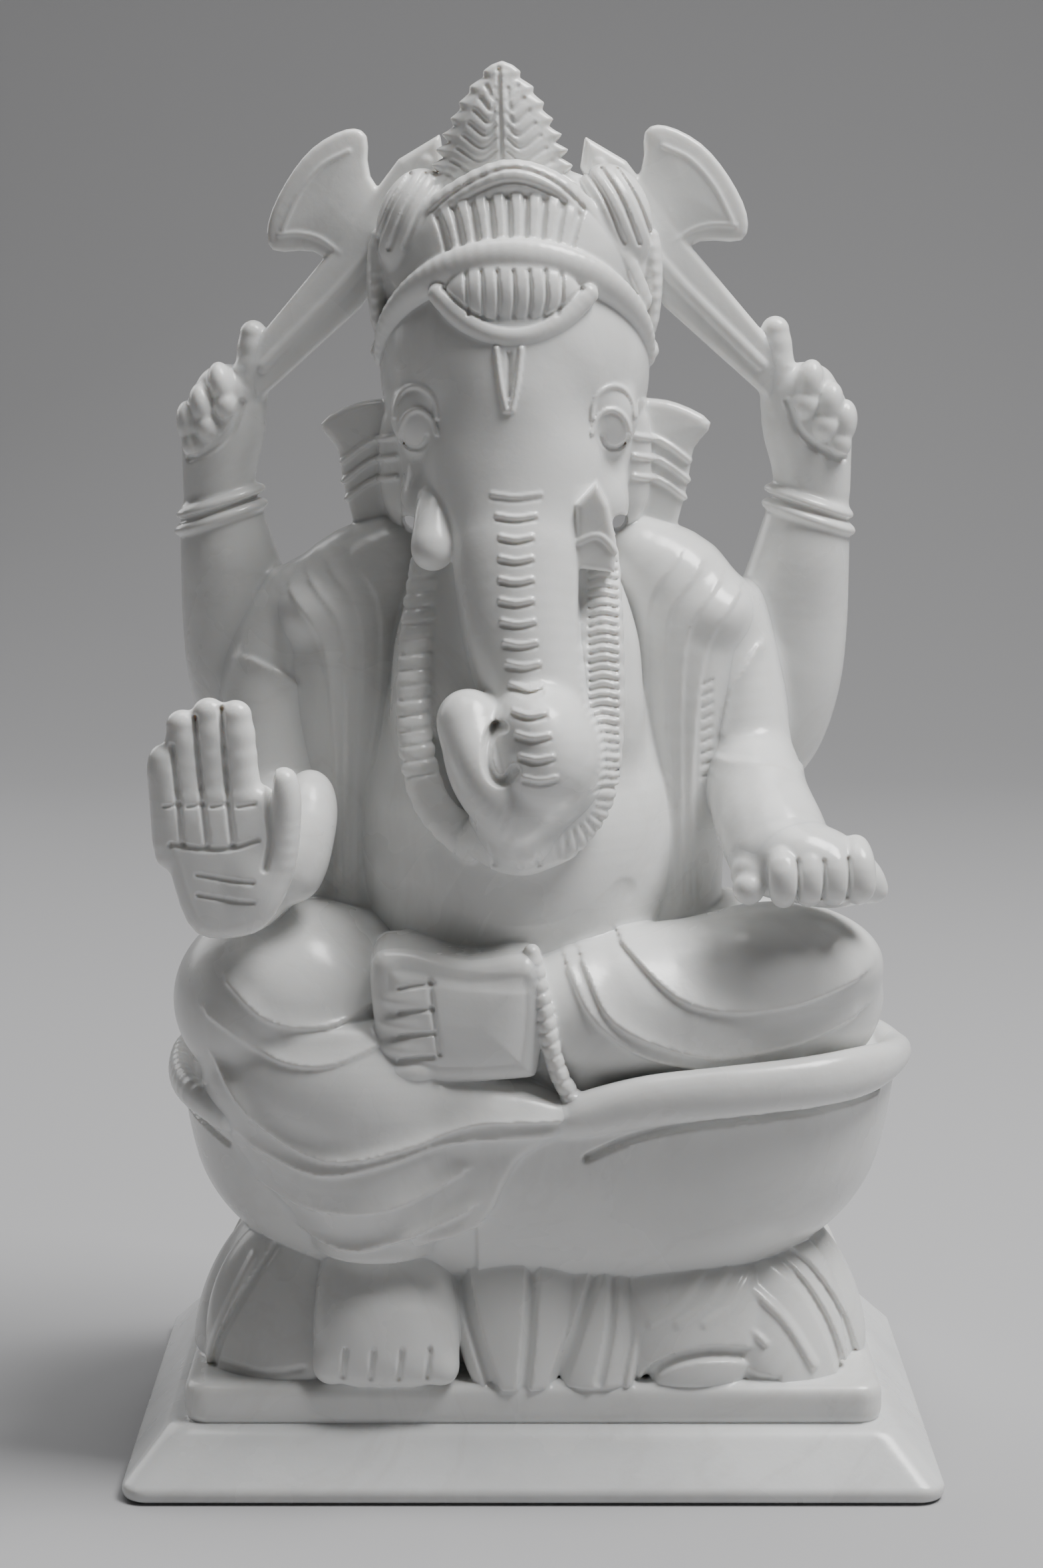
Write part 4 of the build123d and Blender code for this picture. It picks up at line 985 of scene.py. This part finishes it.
arch = Form("crown_arch", "crown", blend=0.6, voxel=0.35)
ARCH = [(-0.8, 0.37, -0.98), (-0.48, -0.23, -0.2), (-0.06, -0.57, 0.37), (0.31, -0.4, 0.13),
        (0.63, -0.03, -0.66), (0.9, 0.27, -1.7), (1.08, 0.75, -2.8)]
arch.limb([p + (0.5, 0.44) for p in ARCH], across=(0, 1, 0))
for lift in (0.22, -0.12):
    arch.line([(x, z + lift) for x, _, z in ARCH], 0.5, 0.6, front=1)

spire = Form("crown_spire", "crown", blend=0.8, voxel=0.35)
SCALLOPS = 8
outline = []
for side in (-1, 1):
    edge = []
    for tooth in range(SCALLOPS):
        for part, swell in ((0.0, -0.02), (0.5, 0.15)):
            rise = (tooth + part) / SCALLOPS
            edge.append((side * (0.98 * math.cos(math.radians(88 * rise)) + swell),
                         -1.15 + 2.1 * rise))
    outline += edge if side > 0 else [(0, 1)] + edge[::-1]
outline = outline[outline.index((0, 1)):] + outline[:outline.index((0, 1))]
spire.plate(outline, -0.87, 0.92, edge=1.4, steps=2, bulge=2.2)
spire.ball((-0.02, -0.55, -0.44), (0.67, 0.67, 1.2), k=3.0)
spire.line([(-0.05, 0.85), (-0.03, 0.1), (0, -0.8)], 0.6, 0.6, front=0.6)
for stroke in range(8):
    z = 0.62 - 0.21 * stroke
    wide = 0.24 + 0.085 * stroke
    for side in (-1, 1):
        spire.line([(0.09 * side, z - 0.1), (0.5 * wide * side, z - 0.26), (wide * side, z - 0.05)],
                   0.45, 0.65, front=0.1)
for stroke in range(5):
    z = 0.6 - 0.32 * stroke
    for side in (-1, 1):
        spire.line([(0, z), (side * (0.3 + 0.14 * stroke), z - 0.27)], 0.6, 0.8, behind=0.2)

for node, side in (("crown_leaf_right", -1), ("crown_leaf_left", 1)):
    leaf = Form(node, "crown", blend=0.7, voxel=0.35)
    leaf.ball((-0.2 * side, 0, -0.03), (1.05, 1.05, 1.12), 0, 0, -14 * side)
    # grooves slant down and outwards, along the arch
    for rib in range(4):
        x = -0.85 + 0.42 * rib
        leaf.line(mirrored([(x - 0.5, 0.95), (x, 0.35), (x + 0.5, -0.5)], side), 0.7, 0.7, front=0.4)

gem = Form("forehead_ornament", "crown", blend=0.6, voxel=0.35)
gem.ball((0, 0.49, 0.03), (0.8, 1.15, 0.98))
rim = [(x, -0.33 + 1.33 * x * x, -0.96 + 1.35 * x * x, 0.48, 0.27) for x in np.linspace(-0.88, 0.88, 7)]
gem.limb(rim, across=(0, 1, 0), k=0.8)
for rib in range(7):
    x = -0.56 + 0.187 * rib
    gem.line([(x, 0.65), (x + 0.02, 0), (0.93 * x, -0.6 + 0.6 * x * x)], 0.8, 0.55, front=2.3)
gem.line([(x, -0.66 + 1.3 * x * x) for x in np.linspace(-0.82, 0.82, 7)], 0.7, 0.6, front=2.3)

# ------ stone
VEIN_TINT = (0.56, 0.54, 0.52, 1)
# warm grey of the painted shade in the engraved lines and other hollows
PAINTED_SHADE_TINT = (0.50, 0.46, 0.42, 1)
POLISHED_MARBLE = (("IOR", 1.49), ("Subsurface Weight", 0.35), ("Subsurface Radius", (1.0, 0.82, 0.66)),
                   ("Subsurface Scale", 0.0022), ("Coat Weight", 0.15), ("Coat Roughness", 0.18))


def stone(name, light, dark, vein_strength, grain):
    """Polished marble: soft light through its skin, faint clouds and tooling in the polish."""
    mat = bpy.data.materials.new(name)
    mat.use_nodes = True
    nodes, links = mat.node_tree.nodes, mat.node_tree.links
    shader = nodes["Principled BSDF"]

    def node(kind, **values):
        n = nodes.new(kind)
        for key, value in values.items():
            if key in n.inputs:
                n.inputs[key].default_value = value
            else:
                setattr(n, key, value)
        return n

    def remap(source, low, high, start, end, **options):
        """source, taken from low..high over to start..end."""
        n = node("ShaderNodeMapRange", **options)
        for key, value in zip(("From Min", "From Max", "To Min", "To Max"), (low, high, start, end)):
            n.inputs[key].default_value = value
        links.new(source, n.inputs["Value"])
        return n.outputs["Result"]

    def tinted(base, tint, factor):
        """base, going over to tint as factor goes to 1."""
        n = node("ShaderNodeMix", data_type="RGBA")
        n.inputs["B"].default_value = tint
        links.new(factor, n.inputs["Factor"])
        links.new(base, n.inputs["A"])
        return n.outputs["Result"]

    where = node("ShaderNodeTexCoord")
    clouds = node("ShaderNodeTexNoise", Scale=26.0, Detail=4.0, Roughness=0.55, Distortion=0.6)
    veins = node("ShaderNodeTexNoise", Scale=11.0, Detail=6.0, Roughness=0.6, Distortion=1.6)
    specks = node("ShaderNodeTexNoise", Scale=900.0, Detail=2.0)
    tooling = node("ShaderNodeTexNoise", Scale=grain, Detail=3.0, Roughness=0.5)
    for n in (clouds, veins, specks, tooling):
        links.new(where.outputs["Object"], n.inputs["Vector"])

    cloud_tone = node("ShaderNodeValToRGB")
    for stop, place, colour in zip(cloud_tone.color_ramp.elements, (0.3, 0.62), (dark, light)):
        stop.position = place
        stop.color = colour
    links.new(clouds.outputs["Fac"], cloud_tone.inputs["Fac"])

    # a vein lies where the second noise crosses its middle
    off_middle = node("ShaderNodeMath", operation="SUBTRACT")
    off_middle.inputs[1].default_value = 0.5
    links.new(veins.outputs["Fac"], off_middle.inputs[0])
    distance = node("ShaderNodeMath", operation="ABSOLUTE")
    links.new(off_middle.outputs[0], distance.inputs[0])
    smooth = {"interpolation_type": "SMOOTHSTEP"}
    vein = remap(distance.outputs[0], 0.0, 0.035, vein_strength, 0.0, **smooth)
    veined = tinted(cloud_tone.outputs["Color"], VEIN_TINT, vein)

    # painted shade: the surface is darkened where it is hollow, in the engraved lines
    shape = node("ShaderNodeNewGeometry")
    hollow = remap(shape.outputs["Pointiness"], 0.40, 0.52, 0.22, 0.0, **smooth)
    links.new(tinted(veined, PAINTED_SHADE_TINT, hollow), shader.inputs["Base Color"])

    # the polish varies with the clouds
    links.new(remap(clouds.outputs["Fac"], 0.3, 0.7, 0.20, 0.33), shader.inputs["Roughness"])

    height = node("ShaderNodeMath", operation="MULTIPLY_ADD")
    height.inputs[1].default_value = 0.25
    links.new(specks.outputs["Fac"], height.inputs[0])
    links.new(tooling.outputs["Fac"], height.inputs[2])
    bump = node("ShaderNodeBump", Strength=0.30, Distance=0.00025)
    links.new(height.outputs[0], bump.inputs["Height"])
    links.new(bump.outputs["Normal"], shader.inputs["Normal"])

    for key, value in POLISHED_MARBLE:
        shader.inputs[key].default_value = value
    return mat


FIGURE = stone("figure_marble", (0.84, 0.845, 0.835, 1), (0.77, 0.775, 0.765, 1), 0.10, 240.0)
BASE = stone("base_marble", (0.80, 0.81, 0.81, 1), (0.70, 0.71, 0.715, 1), 0.16, 200.0)

# ------ carving
by_piece = {}
for form in FORMS:
    by_piece.setdefault(form.piece, []).append(form)

with ThreadPoolExecutor(4) as pool:
    carved = dict(zip(by_piece, pool.map(sculpt, by_piece.values())))

for name, forms in by_piece.items():
    obj = mesh_object(name, *carved[name])
    base = name == "plinth"
    obj.data.materials.append(BASE if base else FIGURE)
    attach(obj, "root")
    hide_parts(*[f.node for f in forms])

# ------ floor, lights, camera
floor_mat = bpy.data.materials.new("studio_paper")
floor_mat.use_nodes = True
paper = floor_mat.node_tree.nodes["Principled BSDF"]
paper.inputs["Base Color"].default_value = (0.42, 0.42, 0.43, 1)
paper.inputs["Roughness"].default_value = 0.85

EXPANSE = 3.0      # m, reach of the paper forwards, upwards and to each side
BEND_AT = 0.9      # m behind the idol where the paper starts to rise
BEND = 0.7         # m, radius of its bend
BEND_STEPS = 12
sweep = bpy.data.meshes.new("studio_sweep")
profile = [(-EXPANSE, 0.0), (BEND_AT, 0.0)]
for i in range(1, BEND_STEPS + 1):
    a = math.radians(90 * i / BEND_STEPS)
    profile.append((BEND_AT + BEND * math.sin(a), BEND - BEND * math.cos(a)))
profile.append((BEND_AT + BEND, EXPANSE))
points = [(x, y, z) for y, z in profile for x in (-EXPANSE, EXPANSE)]
quads = [(2 * i, 2 * i + 1, 2 * i + 3, 2 * i + 2) for i in range(len(profile) - 1)]
sweep.from_pydata(points, [], quads)
sweep.shade_smooth()
sweep.materials.append(floor_mat)
backdrop = bpy.data.objects.new("studio_sweep", sweep)
bpy.context.scene.collection.objects.link(backdrop)


def softbox(name, place, aim, size, power, colour=(1, 1, 1)):
    lamp = bpy.data.lights.new(name, "AREA")
    lamp.shape = "RECTANGLE"
    lamp.size, lamp.size_y = size
    lamp.energy = power
    lamp.color = colour
    obj = bpy.data.objects.new(name, lamp)
    obj.location = place
    obj.rotation_euler = (Vector(aim) - Vector(place)).to_track_quat("-Z", "Y").to_euler()
    bpy.context.scene.collection.objects.link(obj)


MIDDLE = tuple(0.5 * (a + b) for a, b in zip(*CAD_BOUNDS))
softbox("key", (0.55, -0.12, 1.20), MIDDLE, (0.50, 0.50), 23.0, (1.0, 0.995, 0.985))
softbox("fill", (-0.95, -0.75, 0.45), MIDDLE, (0.9, 0.9), 0.12, (1.0, 0.92, 0.80))
softbox("top", (0.0, 0.1, 1.15), MIDDLE, (0.6, 0.5), 4.5)
softbox("rim", (-0.7, 0.7, 0.6), MIDDLE, (0.6, 0.6), 2.4)

world = bpy.data.worlds.new("studio_air")
world.use_nodes = True
world.node_tree.nodes["Background"].inputs["Color"].default_value = (1.0, 0.97, 0.91, 1)
world.node_tree.nodes["Background"].inputs["Strength"].default_value = 0.012
bpy.context.scene.world = world

EYE = (-0.0025, -0.708, 0.264)
EYE_TILT = 80.6    # degrees from straight down
FOCAL, FILM_WIDTH = 110.25, 36.0
lens = bpy.data.cameras.new("front")
lens.sensor_fit = "HORIZONTAL"
lens.sensor_width = FILM_WIDTH
lens.lens = FOCAL
camera = bpy.data.objects.new("front", lens)
camera.location = EYE
camera.rotation_euler = (math.radians(EYE_TILT), 0.0, 0.0)
bpy.context.scene.collection.objects.link(camera)
bpy.context.scene.camera = camera
